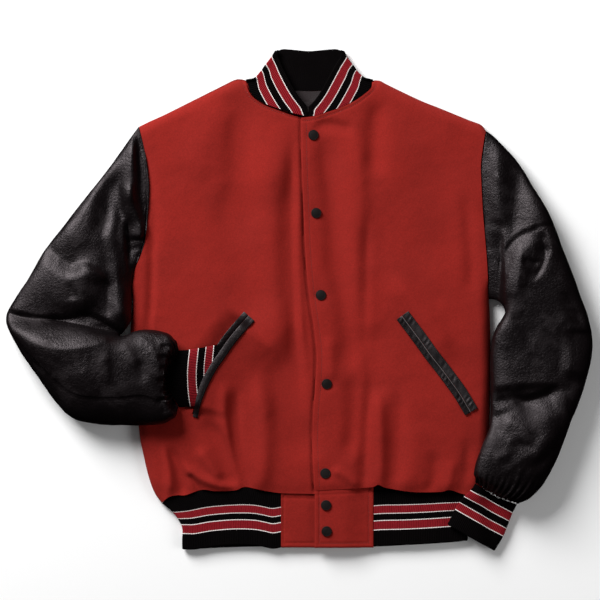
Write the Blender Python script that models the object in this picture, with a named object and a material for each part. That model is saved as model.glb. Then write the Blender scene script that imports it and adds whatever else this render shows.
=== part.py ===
"""A varsity jacket that lies on its back on a flat surface, its front up and its neck towards +Y.

Wool body, leather sleeves, and collar, cuffs and waistband of rib knit. The right sleeve is folded at
the elbow and its cuff goes into the right pocket. The left sleeve lies beside the body, and its cuff
lies over the end of the waistband. Right and left are the wearer's, so the right side is at -X.

Every table is in millimetres, in the frame of the laid jacket. The origin is on the surface below the
jacket's middle. A piece is a grid of outer points, worked out from its edges or its sections, and its
wall is the space between that grid and the same points moved inwards by the cloth's thickness.
"""

import math

import bmesh
import bpy
import numpy as np
from mathutils import Vector
from mathutils.bvhtree import BVHTree

MM = 0.001
UP = (0.0, 0.0, 1.0)

# Thickness of each cloth, and the gap that parts two pieces at a seam
WOOL = 3.0
LEATHER = 2.0
RIB = 4.0
LINING = 1.0
SEAM = 0.3
ARMHOLE_SEAM = 1.0
SLEEVE_SEAM = 1.2
HEM_SEAM = 1.2
COLLAR_SEAM = 1.2

# Heights of the outer side above the surface that the jacket lies on
CHEST = 16.0
LAP = 5.0
BAND_FRONT = 11.5
CUFF_HEIGHT = 11.0
COLLAR_FOLD = 13.0
EDGE_ROUND = 17.0
FOOT = 5.0
CUFF_CLEARANCE = 3.8
IN_POCKET = 4.5
PRESSED = 3.0

# The side of the body from the hem to the underarm, then the armhole up to the shoulder
SIDE_RIGHT = (
    # x, y
    (-208, -304), (-219, -288), (-228, -263), (-235, -233), (-241, -203), (-243, -164), (-243, -104),
    (-243, -44), (-245, -14), (-249, 7), (-254, 22), (-252, 33), (-247, 49), (-239, 67), (-232, 91),
    (-228, 127), (-226, 166), (-229, 203), (-234, 230), (-239, 251), (-242, 261),
)
SIDE_LEFT = (
    # x, y
    (265, -299), (272, -284), (277, -263), (281, -233), (284, -203), (285, -172), (286, -104),
    (286, -44), (284, 1), (282, 25), (280, 61), (277, 97), (274, 133), (272, 169), (271, 203),
    (274, 229), (277, 247), (280, 254),
)
UNDERARM_RIGHT = 22.0
UNDERARM_LEFT = 1.0

# The fold along each shoulder, from the armhole to the neck
SHOULDER_RIGHT = (
    # x, y
    (-242, 261), (-224, 270), (-202, 280), (-160, 301), (-114, 324), (-100, 331), (-91, 333), (-82, 331),
)
SHOULDER_LEFT = (
    # x, y
    (280, 254), (272, 264), (254, 271), (210, 289), (180, 301), (132, 324), (121, 330), (112, 331),
)

# The neckline of each front, from the shoulder to the centre
NECK_RIGHT = (
    # x, y
    (-82, 331), (-80, 319), (-74, 309), (-63, 301), (-51, 294), (-28, 286), (-13, 281), (5, 277),
    (18, 275), (40, 278),
)
NECK_LEFT = (
    # x, y
    (112, 331), (110, 326), (107, 319), (100, 312), (85, 301), (72, 294), (55, 287), (40, 282),
    (24, 277), (12, 275), (2, 274),
)
NECK_BACK = (
    # x, y
    (-82, 331), (-50, 321), (-15, 316), (15, 315), (48, 317), (80, 322), (112, 331),
)

# The seam of each front to the waistband, from the side to the centre
HEM_RIGHT = (
    # x, y
    (-208, -304), (-197, -295), (-184, -292), (-172, -292), (-147, -284), (-127, -286), (-98, -285),
    (-84, -280), (-69, -282), (-50, -286), (-28, -289), (10, -290), (60, -291),
)
HEM_LEFT = (
    # x, y
    (265, -299), (254, -293), (240, -289), (224, -284), (209, -287), (169, -287), (130, -281),
    (117, -276), (106, -280), (60, -283), (22, -285),
)

BACK_HEM = (
    # x, y
    (-208, -304), (-197, -295), (-184, -292), (-140, -290), (20, -289), (190, -289), (240, -289),
    (254, -293), (265, -299),
)

# The free edge of the left front, which lies on the right one, from the hem to the neck
FRONT_EDGE = (
    # x, y
    (22, -285), (20, -247), (19, -209), (20, -167), (23, -134), (25, -97), (25, -77), (21, -40),
    (13, 16), (8, 76), (6, 128), (3, 203), (2, 274),
)
UNDERLAP = 38.0

# Soft folds. A fold runs between two points, its middle pushed aside by bow, and falls away over width.
# Skew makes the side to the left of its run narrower. A negative height is a trough.
FOLDS_FRONT = (
    # x0, y0, x1, y1, bow, width, height, skew
    (-86, 322, -78, 155, 4, 12, -4.0, 0.2),
    (-48, 285, -20, 130, 0, 16, -2.5, 0.1),
    (-18, 190, -7, -110, -5, 12, -6.0, 0.3),
    (-34, 210, -28, -130, -4, 15, 3.5, 0.0),
    (-100, 230, -84, 60, 4, 24, 3.0, 0.0),
    (-30, -70, 14, -160, -6, 16, -4.0, 0.2),
    (-40, -120, -52, -268, 8, 16, 3.5, 0.0),
    (-86, -150, -66, -288, -7, 10, -6.0, 0.3),
    (-104, -130, -100, -276, -8, 12, 4.5, 0.2),
    (-128, -170, -98, -285, 9, 11, -4.5, 0.2),
    (-172, -215, -140, -288, 4, 9, -4.5, 0.1),
    (-150, -225, -116, -268, 0, 9, 3.5, 0.0),
    (-196, -225, -178, -292, 4, 8, 3.0, 0.0),
    (-216, -222, -192, -288, 3, 7, -3.0, 0.0),
    (-238, 225, -222, 60, 6, 12, -2.0, 0.2),
    # the left front
    (28, 235, 44, 60, 3, 13, -4.0, 0.2),
    (44, 60, 66, -90, 5, 15, -5.5, 0.3),
    (60, 230, 74, -60, 4, 20, 3.0, 0.0),
    (76, 275, 74, 165, -3, 14, -3.5, 0.1),
    (92, 90, 84, -120, 0, 14, -3.0, 0.0),
    (110, 110, 112, -150, 3, 22, 3.0, 0.0),
    (78, -110, 70, -230, 5, 15, -3.5, 0.2),
    (104, -150, 98, -270, -3, 11, 3.5, 0.0),
    (120, -140, 116, -278, 3, 12, -4.5, 0.2),
    (148, -160, 138, -276, 3, 13, 3.0, 0.0),
    (226, -228, 212, -284, 2, 9, -3.0, 0.1),
    (250, -215, 236, -286, 4, 10, 3.0, 0.0),
    (150, 30, 220, -60, 6, 20, 3.0, 0.2),
)

# The right pocket's mouth from its upper end to its lower one, and how the cuff in it parts the lips
SLIT_RIGHT = (
    # x, y
    (-78, -29), (-92, -44), (-107, -60), (-121, -79), (-136, -100), (-148, -124), (-156, -147), (-160, -169),
)
SLIT_GAP = 3.0
LIP_RAISED = 10.0
LIP_LOWERED = 9.0
LIP_REACH_OUT = 62.0
LIP_REACH_IN = 40.0

# The left pocket's mouth is closed
SLIT_LEFT = (
    # x, y
    (156, -27), (180, -59), (195, -80), (210, -99), (225, -119), (240, -140), (256, -167),
)
WELT = 1.6
WELT_LIFT = 0.8

# A sleeve's sections from the armhole to the cuff. A section runs from an outer to an inner point, its
# middle pushed to the cuff by sag. It stands from a bottom, given for each side, to a top. Seam is the
# angle, up from the outer edge, at which the front and the back are sewn together.
SLEEVE_RIGHT = (
    # outer x, y, inner x, y, sag, outer bottom, inner bottom, top, seam, boxy
    (-242, 261, -256, 22, -18, 0, 0, 15, 0, 6.0),
    (-258, 241, -255, 16, -14, 0, 0, 21, 0, 4.0),
    (-292, 193, -252, 1, -4, 0, 0, 34, 2, 2.8),
    (-330, 145, -250, -16, 4, 0, 0, 42, 4, 2.4),
    (-360, 106, -252, -28, 6, 0, 0, 43, 6, 2.4),
    (-383, 75, -260, -36, 6, 0, 0, 41, 8, 2.4),
    (-408, 33, -266, -42, 4, 0, 0, 39, 10, 2.4),
    (-435, -9, -269, -48, 0, 0, 0, 34, 14, 2.4),
    (-441, -28, -270, -52, -6, 0, 0, 40, 18, 2.4),
    (-435, -48, -268, -54, -4, 0, 1, 54, 24, 2.5),
    (-415, -83, -264, -53, 0, 0, 2, 60, 34, 2.5),
    (-390, -119, -259, -51, 3, 0, 5, 61, 44, 2.5),
    (-364, -155, -252, -48, 5, 0, 8, 62, 52, 2.5),
    (-337, -178, -243, -45, 6, 2, 11, 62, 56, 2.5),
    (-294, -186, -230, -43, 6, 6, 16, 62, 58, 2.5),
    (-245, -187, -213, -45, 4, 15, 17, 60, 58, 2.5),
    (-208, -185, -196, -50, 0, 18, 18, 54, 58, 2.4),
    (-186, -175, -184, -60, -13, 19, 19, 42, 56, 2.4),
    (-183, -160, -181, -75, -11, 18, 18, 31, 50, 2.6),
)
SLEEVE_LEFT = (
    # outer x, y, inner x, y, sag, outer bottom, inner bottom, top, seam, boxy
    (280, 254, 286, 2, -8, 0, 0, 19, 0, 6.0),
    (298, 241, 290, 2, -6, 0, 0, 24, 0, 4.0),
    (324, 212, 295, 0, -2, 0, 0, 34, 0, 2.8),
    (347, 175, 301, -4, 2, 0, 0, 42, 0, 2.4),
    (369, 138, 306, -12, 4, 0, 0, 45, 2, 2.4),
    (386, 99, 307, -19, 5, 0, 0, 46, 4, 2.4),
    (402, 56, 303, -27, 5, 0, 0, 46, 6, 2.4),
    (417, 16, 296, -37, 4, 0, 0, 46, 8, 2.4),
    (430, -19, 292, -52, 2, 0, 0, 46, 10, 2.4),
    (438, -53, 290, -74, 0, 0, 0, 45, 12, 2.4),
    (437, -85, 291, -101, -2, 0, 0, 44, 14, 2.4),
    (430, -116, 294, -131, -3, 0, 1, 43, 14, 2.4),
    (420, -146, 293, -160, -2, 0, 6, 47, 14, 2.4),
    (407, -179, 286, -187, 0, 0, 16, 54, 14, 2.4),
    (395, -212, 273, -214, 4, 0, 23, 58, 14, 2.4),
    (380, -248, 264, -239, 8, 1, 24, 57, 14, 2.4),
    (364, -275, 260, -258, 10, 2, 24, 51, 12, 2.4),
    (345, -295, 263, -264, 8, 3, 22, 42, 10, 2.4),
    (327, -304, 263, -272, 4, 4, 20, 32, 8, 2.4),
)

FOLDS_SLEEVE_RIGHT = (
    # x0, y0, x1, y1, bow, width, height, skew
    (-245, 235, -243, 140, 3, 8, -7.0, 0.2),
    (-262, 250, -274, 130, 6, 11, 6.0, 0.0),
    (-274, 130, -236, 82, -4, 9, 5.0, 0.0),
    (-246, 86, -240, 62, 0, 7, -6.0, 0.0),
    (-294, 198, -298, 66, 4, 9, -9.0, 0.2),
    (-286, 120, -272, -10, 5, 10, 6.0, 0.0),
    (-312, 135, -306, 70, 0, 12, 4.0, 0.0),
    (-352, 60, -296, 28, -6, 12, -6.0, 0.2),
    (-344, 40, -330, -14, -4, 12, 6.5, 0.2),
    (-338, 22, -326, -2, 0, 7, -6.0, 0.0),
    (-304, 20, -304, -22, 0, 14, -10.0, 0.0),
    (-400, 5, -390, -30, 0, 13, 4.0, 0.0),
    (-432, -24, -278, -46, 16, 9, -15.0, 0.0),
    (-416, -42, -292, -44, 20, 10, 5.0, 0.3),
    (-404, -74, -232, -52, 10, 15, -5.0, 0.2),
    (-300, -84, -272, -140, 4, 14, 4.0, 0.0),
    (-254, -74, -244, -130, 0, 12, -5.0, 0.1),
    (-222, -66, -206, -112, 3, 12, 4.5, 0.0),
    (-214, -150, -192, -166, 0, 8, 4.0, 0.0),
)
FOLDS_SLEEVE_LEFT = (
    # x0, y0, x1, y1, bow, width, height, skew
    (324, 205, 310, 98, -4, 11, -10.0, 0.2),
    (298, 225, 292, 110, 0, 11, 5.0, 0.0),
    (378, 108, 318, 92, -12, 8, 7.0, 0.3),
    (318, 92, 304, 26, 6, 13, 7.0, 0.0),
    (360, 80, 350, 30, -5, 12, -10.0, 0.2),
    (376, 96, 352, 18, -8, 7, 5.0, 0.0),
    (326, 20, 308, -10, 0, 14, -7.0, 0.0),
    (362, 10, 372, -40, 0, 24, 4.0, 0.0),
    (404, 0, 436, -56, 4, 12, -4.0, 0.0),
    (302, -90, 410, -108, 8, 12, -4.0, 0.1),
    (298, -124, 428, -96, 8, 11, 7.0, 0.2),
    (292, -144, 388, -132, 5, 11, -13.0, 0.2),
    (380, -134, 432, -150, 0, 12, -4.0, 0.0),
    (318, -172, 346, -210, 4, 16, 4.0, 0.0),
    (304, -212, 360, -238, 6, 12, 4.0, 0.0),
    (340, -250, 396, -190, -8, 10, -5.0, 0.1),
    (352, -282, 392, -222, -6, 9, 4.0, 0.0),
)

# The cuffs' sections from the sleeve to the free end
CUFF_RIGHT = (
    # outer x, y, inner x, y, sag
    (-179.4, -160, -177.4, -75, -10),
    (-163, -159, -166, -74, -7),
    (-144, -158, -148, -71, -3),
    (-123, -157, -127, -67, 0),
    (-102, -155, -104, -63, 0),
)
CUFF_LEFT = (
    # outer x, y, inner x, y, sag
    (325.7, -306.2, 262.7, -274.2, 4),
    (319, -319, 256, -284, 2),
    (312, -337, 243, -297, 0),
    (305, -354, 233, -313, 0),
    (292, -376, 221, -336, 0),
)

# The waistband's fold at each side of the body, from its free edge up to the seam
BAND_SIDE_RIGHT = (
    # x, y
    (-177, -374), (-177, -358), (-176, -345), (-181, -332), (-191, -318), (-207, -305),
)
BAND_SIDE_LEFT = (
    # x, y
    (252, -361), (252, -350), (250, -340), (252, -328), (257, -315), (264, -300),
)
BAND_BOTTOM_RIGHT = (
    # x, y
    (-177, -374), (-158, -374), (-135, -370), (-98, -367), (-66, -368), (-40, -373), (-29, -371),
)
BAND_BOTTOM_LEFT = (
    # x, y
    (252, -361), (215, -364), (165, -367), (125, -368), (111, -369),
)
BAND_BOTTOM_BACK = (
    # x, y
    (-66, -370), (111, -370),
)
TAB_BOTTOM = -371.0
TAB_RIGHT = (-28.5, 62.0)
TAB_LEFT = (22.0, 110.5)

# The collar's fold at each side of the neck, from the seam to the free edge
COLLAR_SIDE_RIGHT = (
    # x, y
    (-80, 334), (-72, 334), (-65, 338), (-58, 346), (-50, 357), (-43, 366), (-37, 376),
)
COLLAR_SIDE_LEFT = (
    # x, y
    (110, 334), (102, 334), (93, 339), (86, 345), (79, 355), (72, 364), (66, 376),
)
COLLAR_FREE_BACK = (
    # x, y
    (-37, 376), (-26, 378), (-10, 377), (14, 375), (38, 377), (54, 378), (66, 376),
)
COLLAR_FREE_RIGHT = (
    # x, y
    (-37, 376), (-31, 362), (-23, 344), (-14, 326), (-5, 311), (4, 299), (11.4, 290.5),
)
COLLAR_FREE_LEFT = (
    # x, y
    (66, 376), (60, 365), (51, 350), (41, 331), (31, 313), (21, 299), (12.6, 290.5),
)
COLLAR_CENTRE = 12.0
COLLAR_FRONT = 19.0
COLLAR_FOLD_WIDTH = 4.5

# Points along a strip of rib knit, on each front and on the back, and across it
BAND_COLUMNS = 13
BAND_BACK_COLUMNS = 15
COLLAR_COLUMNS = 12
COLLAR_BACK_COLUMNS = 13
STRIP_ROWS = 6

LINING_OUTLINE = (
    # x, y
    (-40, 317.5), (-22, 316.2), (15, 314.4), (50, 316.4), (68, 319), (58, 296), (40, 284), (12, 277),
    (-16, 284), (-32, 298),
)

SNAPS = (
    # x, y
    (20, 248), (24, 131), (31, 8), (40, -125), (38, -259), (39, -307), (40, -346),
)
SNAP_RADIUS = 7.8
SNAP_LIFT = 0.6
TAB_TOP = -286.0
SNAP_PROFILE = (
    # share of the radius, height
    (0.0, 0.0), (0.98, 0.0), (1.0, 0.9), (0.86, 2.0), (0.60, 3.2), (0.30, 3.8), (0.0, 4.0),
)

RED_WOOL = ((0.36, 0.012, 0.008), 0.92, 0.0)
BLACK_LEATHER = ((0.016, 0.012, 0.012), 0.42, 0.0)
BLACK_RIB = ((0.010, 0.009, 0.010), 0.90, 0.0)
CHARCOAL_LINING = ((0.070, 0.062, 0.068), 0.60, 0.0)
BLACK_ENAMEL = ((0.012, 0.012, 0.014), 0.35, 0.1)


def material(name, look):
    colour, roughness, metallic = look
    made = bpy.data.materials.get(name)
    if made is None:
        made = bpy.data.materials.new(name)
        made.use_nodes = True
        shader = made.node_tree.nodes["Principled BSDF"]
        shader.inputs["Base Color"].default_value = (*colour, 1.0)
        shader.inputs["Roughness"].default_value = roughness
        shader.inputs["Metallic"].default_value = metallic
    return made


def clear_scene():
    for item in list(bpy.data.objects):
        bpy.data.objects.remove(item, do_unlink=True)


def ease(value):
    """0 at 0 and below, 1 at 1 and above, with a soft start and end."""
    t = np.clip(value, 0.0, 1.0)
    return t * t * (3.0 - 2.0 * t)


def along(rows, places):
    """The rows read at places between 0, the first one, and 1, the last, on a smooth curve."""
    table = np.array(rows, float)
    padded = np.vstack([2 * table[0] - table[1], table, 2 * table[-1] - table[-2]])
    at = np.clip(np.asarray(places, float), 0.0, 1.0) * (len(table) - 1)
    first = np.minimum(at.astype(int), len(table) - 2)
    t = (at - first)[..., None]
    a, b, c, d = (padded[first + k] for k in range(4))
    return 0.5 * (2 * b + (c - a) * t + (2 * a - 5 * b + 4 * c - d) * t**2 + (3 * b - a - 3 * c + d) * t**3)


def by_length(points, places):
    """Points of a polyline at places from 0 to 1 of its length."""
    steps = np.linalg.norm(np.diff(points, axis=0), axis=1)
    reached = np.concatenate([[0.0], np.cumsum(steps)])
    wanted = np.asarray(places, float) * reached[-1]
    return np.stack([np.interp(wanted, reached, column) for column in points.T], axis=-1)


def edge(rows, places):
    """Points of a smooth curve through the rows, at places from 0 to 1 of its length."""
    return by_length(along(rows, np.linspace(0, 1, 12 * len(rows))), places)


def bend(first, second, corner, places):
    """Two edges one after the other, which meet at the place called corner."""
    places = np.asarray(places, float)
    return np.where(
        (places <= corner)[:, None],
        edge(first, np.clip(places / corner, 0, 1)),
        edge(second, np.clip((places - corner) / (1 - corner), 0, 1)),
    )


def between(bottom, top, left, right, across, up):
    """A grid of plan points between four edges that meet at its corners."""
    u = across[None, :, None]
    v = up[:, None, None]
    ruled = (1 - v) * bottom[None] + v * top[None] + (1 - u) * left[:, None] + u * right[:, None]
    low = (1 - u) * bottom[0] + u * bottom[-1]
    high = (1 - u) * top[0] + u * top[-1]
    return ruled - (1 - v) * low - v * high


def folds(table, x, y):
    """The height that the folds of a table add at plan points."""
    total = np.zeros_like(x)
    for x0, y0, x1, y1, bow, width, height, skew in table:
        length = math.hypot(x1 - x0, y1 - y0)
        ux, uy = (x1 - x0) / length, (y1 - y0) / length
        run = ((x - x0) * ux + (y - y0) * uy) / length
        aside = (y - y0) * ux - (x - x0) * uy - bow * 4 * run * (1 - run)
        reach = width * (1 - skew * np.sign(aside))
        ends = ease((run + 0.18) / 0.36) * ease((1.18 - run) / 0.36)
        total += height * np.exp(-((aside / reach) ** 2)) * ends
    return total


def quarter_round(distance, radius):
    """The rise of a rounded edge, from 0 at the edge to 1 at the radius and beyond."""
    t = np.clip(distance / radius, 0.0, 1.0)
    return np.sqrt(1.0 - (1.0 - t) ** 2)


def side_x(table, y):
    curve = edge(table, np.linspace(0, 1, 160))
    return np.interp(y, curve[:, 1], curve[:, 0])


def shoulder_distance(table, x, y):
    """How far plan points lie below the fold of a shoulder, or from its end at the neck."""
    curve = edge(table, np.linspace(0, 1, 80))
    neck_x, neck_y = table[-1]
    order = np.argsort(curve[:, 0])
    below = (np.interp(x, curve[order, 0], curve[order, 1]) - y) * 0.9
    past = (x - neck_x) * np.sign(neck_x) * -1.0
    return np.where(past > 0, np.hypot(past, np.maximum(neck_y - y, 0.0)), below)


def slit_frame(table, x, y):
    """Where plan points lie by a pocket's mouth: place along it from 0 to 1, and distance to its right."""
    curve = edge(table, np.linspace(0, 1, 60))
    steps = np.diff(curve, axis=0)
    lengths = np.linalg.norm(steps, axis=1)
    reached = np.concatenate([[0.0], np.cumsum(lengths)])
    best = np.full(x.shape, 1e9)
    place = np.zeros_like(x)
    aside = np.zeros_like(x)
    for (cx, cy), (sx, sy), length, start in zip(curve, steps, lengths, reached):
        along_step = ((x - cx) * sx + (y - cy) * sy) / length**2
        held = np.clip(along_step, 0.0, 1.0)
        away = np.hypot(x - cx - held * sx, y - cy - held * sy)
        side = (x - cx) * sy - (y - cy) * sx
        nearer = away < best
        best = np.where(nearer, away, best)
        place = np.where(nearer, (start + held * length) / reached[-1], place)
        aside = np.where(nearer, -np.sign(side) * away, aside)
    return place, aside


def lips(x, y):
    """What the cuff in the right pocket adds to the front: up past the mouth, down before it."""
    place, aside = slit_frame(SLIT_RIGHT, x, y)
    taper = ease(np.minimum(place, 1 - place) / 0.09)
    past = LIP_RAISED * (1 - ease(aside / LIP_REACH_OUT))
    before = -LIP_LOWERED * (1 - ease(-aside / LIP_REACH_IN))
    return np.where(aside > 0, past, before) * taper


def front_height(x, y, side_table, shoulder_table, underarm, chest):
    """Height of a front's outer side at plan points."""
    outward = -1.0 if side_table[0][0] < 0 else 1.0
    inside = (side_x(side_table, y) - x) * outward
    open_side = ease((y - underarm + 8.0) / 45.0)
    side = quarter_round(inside, EDGE_ROUND) * (1 - open_side) + open_side
    top = quarter_round(shoulder_distance(shoulder_table, x, y), EDGE_ROUND)
    hem = 1.0 - 0.20 * np.exp(-(((y + 290.0) / 11.0) ** 2))
    creased = folds(FOLDS_FRONT, x, y) * ease(inside / EDGE_ROUND + open_side)
    return FOOT + ((chest - FOOT) * hem + creased) * side * top


def right_base(x, y):
    """The right front without its pocket, pressed down a little by the forearm."""
    pressed = ease((-190.0 - x) / 30.0) * ease((-20.0 - y) / 40.0) * ease((y + 210.0) / 40.0)
    chest = CHEST - PRESSED * pressed
    return front_height(x, y, SIDE_RIGHT, SHOULDER_RIGHT, UNDERARM_RIGHT, chest)


def right_height(x, y):
    return right_base(x, y) + lips(x, y)


def left_height(x, y):
    return front_height(x, y, SIDE_LEFT, SHOULDER_LEFT, UNDERARM_LEFT, CHEST + LAP)


def finish(name, solid, look):
    """The object of a closed body."""
    mesh = bpy.data.meshes.new(name)
    bmesh.ops.recalc_face_normals(solid, faces=solid.faces)
    solid.to_mesh(mesh)
    solid.free()
    mesh.materials.append(look)
    mesh.shade_smooth()
    mesh.set_sharp_from_angle(angle=math.radians(50))
    made = bpy.data.objects.new(name, mesh)
    bpy.context.scene.collection.objects.link(made)
    return made


def grid_sheet(points):
    """A sheet of a grid of points, [row, column, xyz] in millimetres, and each vertex's place in the grid."""
    rows, columns = points.shape[:2]
    sheet = bmesh.new()
    bmesh.ops.create_grid(sheet, x_segments=columns - 1, y_segments=rows - 1, size=1.0)
    order = []
    for vertex in sheet.verts:
        column = round((vertex.co.x + 1) / 2 * (columns - 1))
        row = round((vertex.co.y + 1) / 2 * (rows - 1))
        vertex.co = Vector(points[row, column]) * MM
        order.append(row * columns + column)
    return sheet, order


def tube_sheet(rings):
    """A sheet of closed rings of points, [ring, place round it, xyz], open at both ends."""
    sheet = bmesh.new()
    loops = [[sheet.verts.new(Vector(point) * MM) for point in ring] for ring in rings]
    for near, far in zip(loops, loops[1:]):
        for index in range(len(near)):
            after = (index + 1) % len(near)
            sheet.faces.new((near[index], near[after], far[after], far[index]))
    return sheet


def cloth(name, sheet, inner, look):
    """A cloth wall between a sheet and the inner points of its vertices."""
    place = sheet.verts.layers.int.new("place")
    for index, vertex in enumerate(sheet.verts):
        vertex[place] = index
    made = bmesh.ops.extrude_face_region(sheet, geom=list(sheet.faces))
    for item in made["geom"]:
        if isinstance(item, bmesh.types.BMVert):
            item.co = Vector(inner[item[place]]) * MM
    return finish(name, sheet, look)


def normals(grid, closed=False):
    """Directions square to a grid of points, [row, column, xyz]. They face up where x and y grow."""
    if closed:
        along_row = np.roll(grid, -1, axis=1) - np.roll(grid, 1, axis=1)
    else:
        along_row = np.gradient(grid, axis=1)
    square = np.cross(along_row, np.gradient(grid, axis=0))
    return square / np.linalg.norm(square, axis=2)[..., None]


def wall(name, outer, inner, look):
    """A cloth wall between two grids of points."""
    sheet, order = grid_sheet(outer)
    return cloth(name, sheet, inner.reshape(-1, 3)[order], look)


def panel(name, outer, thickness, lowest, look):
    """A cloth wall below a grid of points, no part of it lower than what the piece lies on."""
    inner = outer - thickness * normals(outer)
    inner[..., 2] = np.maximum(inner[..., 2], lowest)
    return wall(name, outer, inner, look)


def graded(segments, near, far):
    """Places from 0 to 1, closer together at the ends: near and far are shares of an even step."""
    steps = np.ones(segments)
    steps[0], steps[1], steps[2] = near * 0.45, near * 0.7, near
    steps[-1], steps[-2], steps[-3] = far * 0.45, far * 0.7, far
    return np.concatenate([[0.0], np.cumsum(steps) / steps.sum()])


def closer_at_ends(first, last, count, share=0.6):
    even = np.linspace(0, 1, count)
    return first + (last - first) * ((1 - share) * even + share * (0.5 - 0.5 * np.cos(np.pi * even)))


def with_corner(places, corner):
    """The places, with the nearest one moved to the corner."""
    moved = places.copy()
    moved[np.argmin(np.abs(places - corner))] = corner
    return moved


def underlap_edge():
    return tuple((x + UNDERLAP, y + (-6 if index == 0 else 0)) for index, (x, y) in enumerate(FRONT_EDGE))


def cut_slit(grid):
    """Opens the right pocket's mouth in the right front, and gives the front its heights."""
    curve = edge(SLIT_RIGHT, np.linspace(0, 1, 7)) * MM
    for (ax, ay), (bx, by) in zip(curve, curve[1:]):
        run = Vector((bx - ax, by - ay, 0)).normalized()
        aside = Vector((-run.y, run.x, 0))
        length = math.hypot(bx - ax, by - ay)
        for shift in (-0.5, 0.5):
            start = Vector((ax, ay, 0)) + aside * shift * SLIT_GAP * MM
            near = [
                face
                for face in grid.faces
                if any(
                    -2 * MM < (corner.co - start).dot(run) < length + 2 * MM
                    and abs((corner.co - start).dot(aside)) < 14 * MM
                    for corner in face.verts
                )
            ]
            parts = set(near)
            for face in near:
                parts.update(face.edges, face.verts)
            bmesh.ops.bisect_plane(
                grid, geom=list(parts), dist=0.2 * MM, plane_co=start, plane_no=aside
            )
    middles = np.array([face.calc_center_median()[:2] for face in grid.faces]) / MM
    place, aside = slit_frame(SLIT_RIGHT, middles[:, 0], middles[:, 1])
    within = (np.abs(aside) < SLIT_GAP / 2) & (place > 0.001) & (place < 0.999)
    faces = [face for face, is_in in zip(list(grid.faces), within) if is_in]
    bmesh.ops.delete(grid, geom=faces, context="FACES")


def set_heights(grid, height):
    points = np.array([vertex.co[:2] for vertex in grid.verts]) / MM
    for vertex, z in zip(grid.verts, height(points[:, 0], points[:, 1])):
        vertex.co.z = z * MM


def front_right(look):
    corner = 0.55
    across = with_corner(graded(20, 0.55, 0.8), corner)
    up = graded(31, 0.6, 0.6)
    plan = between(
        edge(HEM_RIGHT, across),
        bend(SHOULDER_RIGHT, NECK_RIGHT, corner, across),
        edge(SIDE_RIGHT, up),
        edge(underlap_edge(), up),
        across,
        up,
    )
    sheet, _ = grid_sheet(np.dstack([plan, np.zeros(plan.shape[:2])]))
    cut_slit(sheet)
    set_heights(sheet, right_height)
    sheet.normal_update()
    under = [(vertex.co - vertex.normal * WOOL * MM) / MM for vertex in sheet.verts]
    inner = [(point.x, point.y, max(point.z, WOOL + SEAM)) for point in under]
    return cloth("front_right", sheet, inner, look)


def front_left(look):
    corner = 0.40
    across = with_corner(graded(20, 0.8, 0.55), corner)
    up = graded(31, 0.6, 0.6)
    plan = between(
        edge(HEM_LEFT[::-1], across),
        bend(NECK_LEFT[::-1], SHOULDER_LEFT[::-1], corner, across),
        edge(FRONT_EDGE, up),
        edge(SIDE_LEFT, up),
        across,
        up,
    )
    heights = left_height(plan[..., 0], plan[..., 1])
    return panel("front_left", np.dstack([plan, heights]), WOOL, WOOL + SEAM, look)


def plate(name, outline, bottom, thickness, look):
    """A flat piece of an even thickness."""
    flat = bmesh.new()
    corners = [flat.verts.new(Vector((x, y, bottom)) * MM) for x, y in outline]
    raised = bmesh.ops.extrude_face_region(flat, geom=[flat.faces.new(corners)])
    top = [item for item in raised["geom"] if isinstance(item, bmesh.types.BMVert)]
    bmesh.ops.translate(flat, vec=Vector((0, 0, thickness)) * MM, verts=top)
    return finish(name, flat, look)


def back_panel(look):
    right = edge(SIDE_RIGHT, np.linspace(0, 1, 40))
    left = edge(SIDE_LEFT, np.linspace(0, 1, 36))
    outline = np.concatenate([
        edge(BACK_HEM, np.linspace(0, 1, 28))[:-1],
        left[:-1],
        edge(SHOULDER_LEFT, np.linspace(0, 1, 14))[:-1],
        edge(NECK_BACK[::-1], np.linspace(0, 1, 22))[:-1],
        edge(SHOULDER_RIGHT[::-1], np.linspace(0, 1, 14))[:-1],
        right[::-1][:-1],
    ])
    return plate("back_panel", outline, 0.0, WOOL, look)


def section(row, low_corners=3.4, points=96):
    """Shares across and heights round a closed section, from its outer edge over the top, and the angles."""
    outer_bottom, inner_bottom, top, _, boxy = row[5:]
    turn = np.linspace(0, 2 * np.pi, points + 1)
    cos, sin = np.cos(turn), np.sin(turn)
    share = 0.5 - 0.5 * np.sign(cos) * np.abs(cos) ** (2 / boxy)
    bottom = outer_bottom + (inner_bottom - outer_bottom) * ease(2 * share)
    middle = bottom + 0.32 * (top - bottom)
    over = middle + (top - middle) * np.abs(sin) ** (2 / boxy)
    under = middle - (middle - bottom) * np.abs(sin) ** (2 / low_corners)
    return share, np.where(sin >= 0, over, under), turn


def across_section(row, share):
    """Plan points of a section, from its outer point to its inner one."""
    outer, inner = np.array(row[0:2]), np.array(row[2:4])
    run = inner - outer
    aside = np.array([run[1], -run[0]]) / np.linalg.norm(run)
    if outer[0] > inner[0]:
        aside = -aside
    return outer + share[:, None] * run + (row[4] * np.sin(np.pi * share) ** 1.2)[:, None] * aside


def armhole(side_table, shoulder, underarm, share):
    """Plan points just outside an armhole, from the shoulder to the underarm."""
    y = shoulder + (underarm - shoulder) * share
    outward = -1.0 if side_table[0][0] < 0 else 1.0
    return np.column_stack([side_x(side_table, y) + outward * ARMHOLE_SEAM, y])


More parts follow.
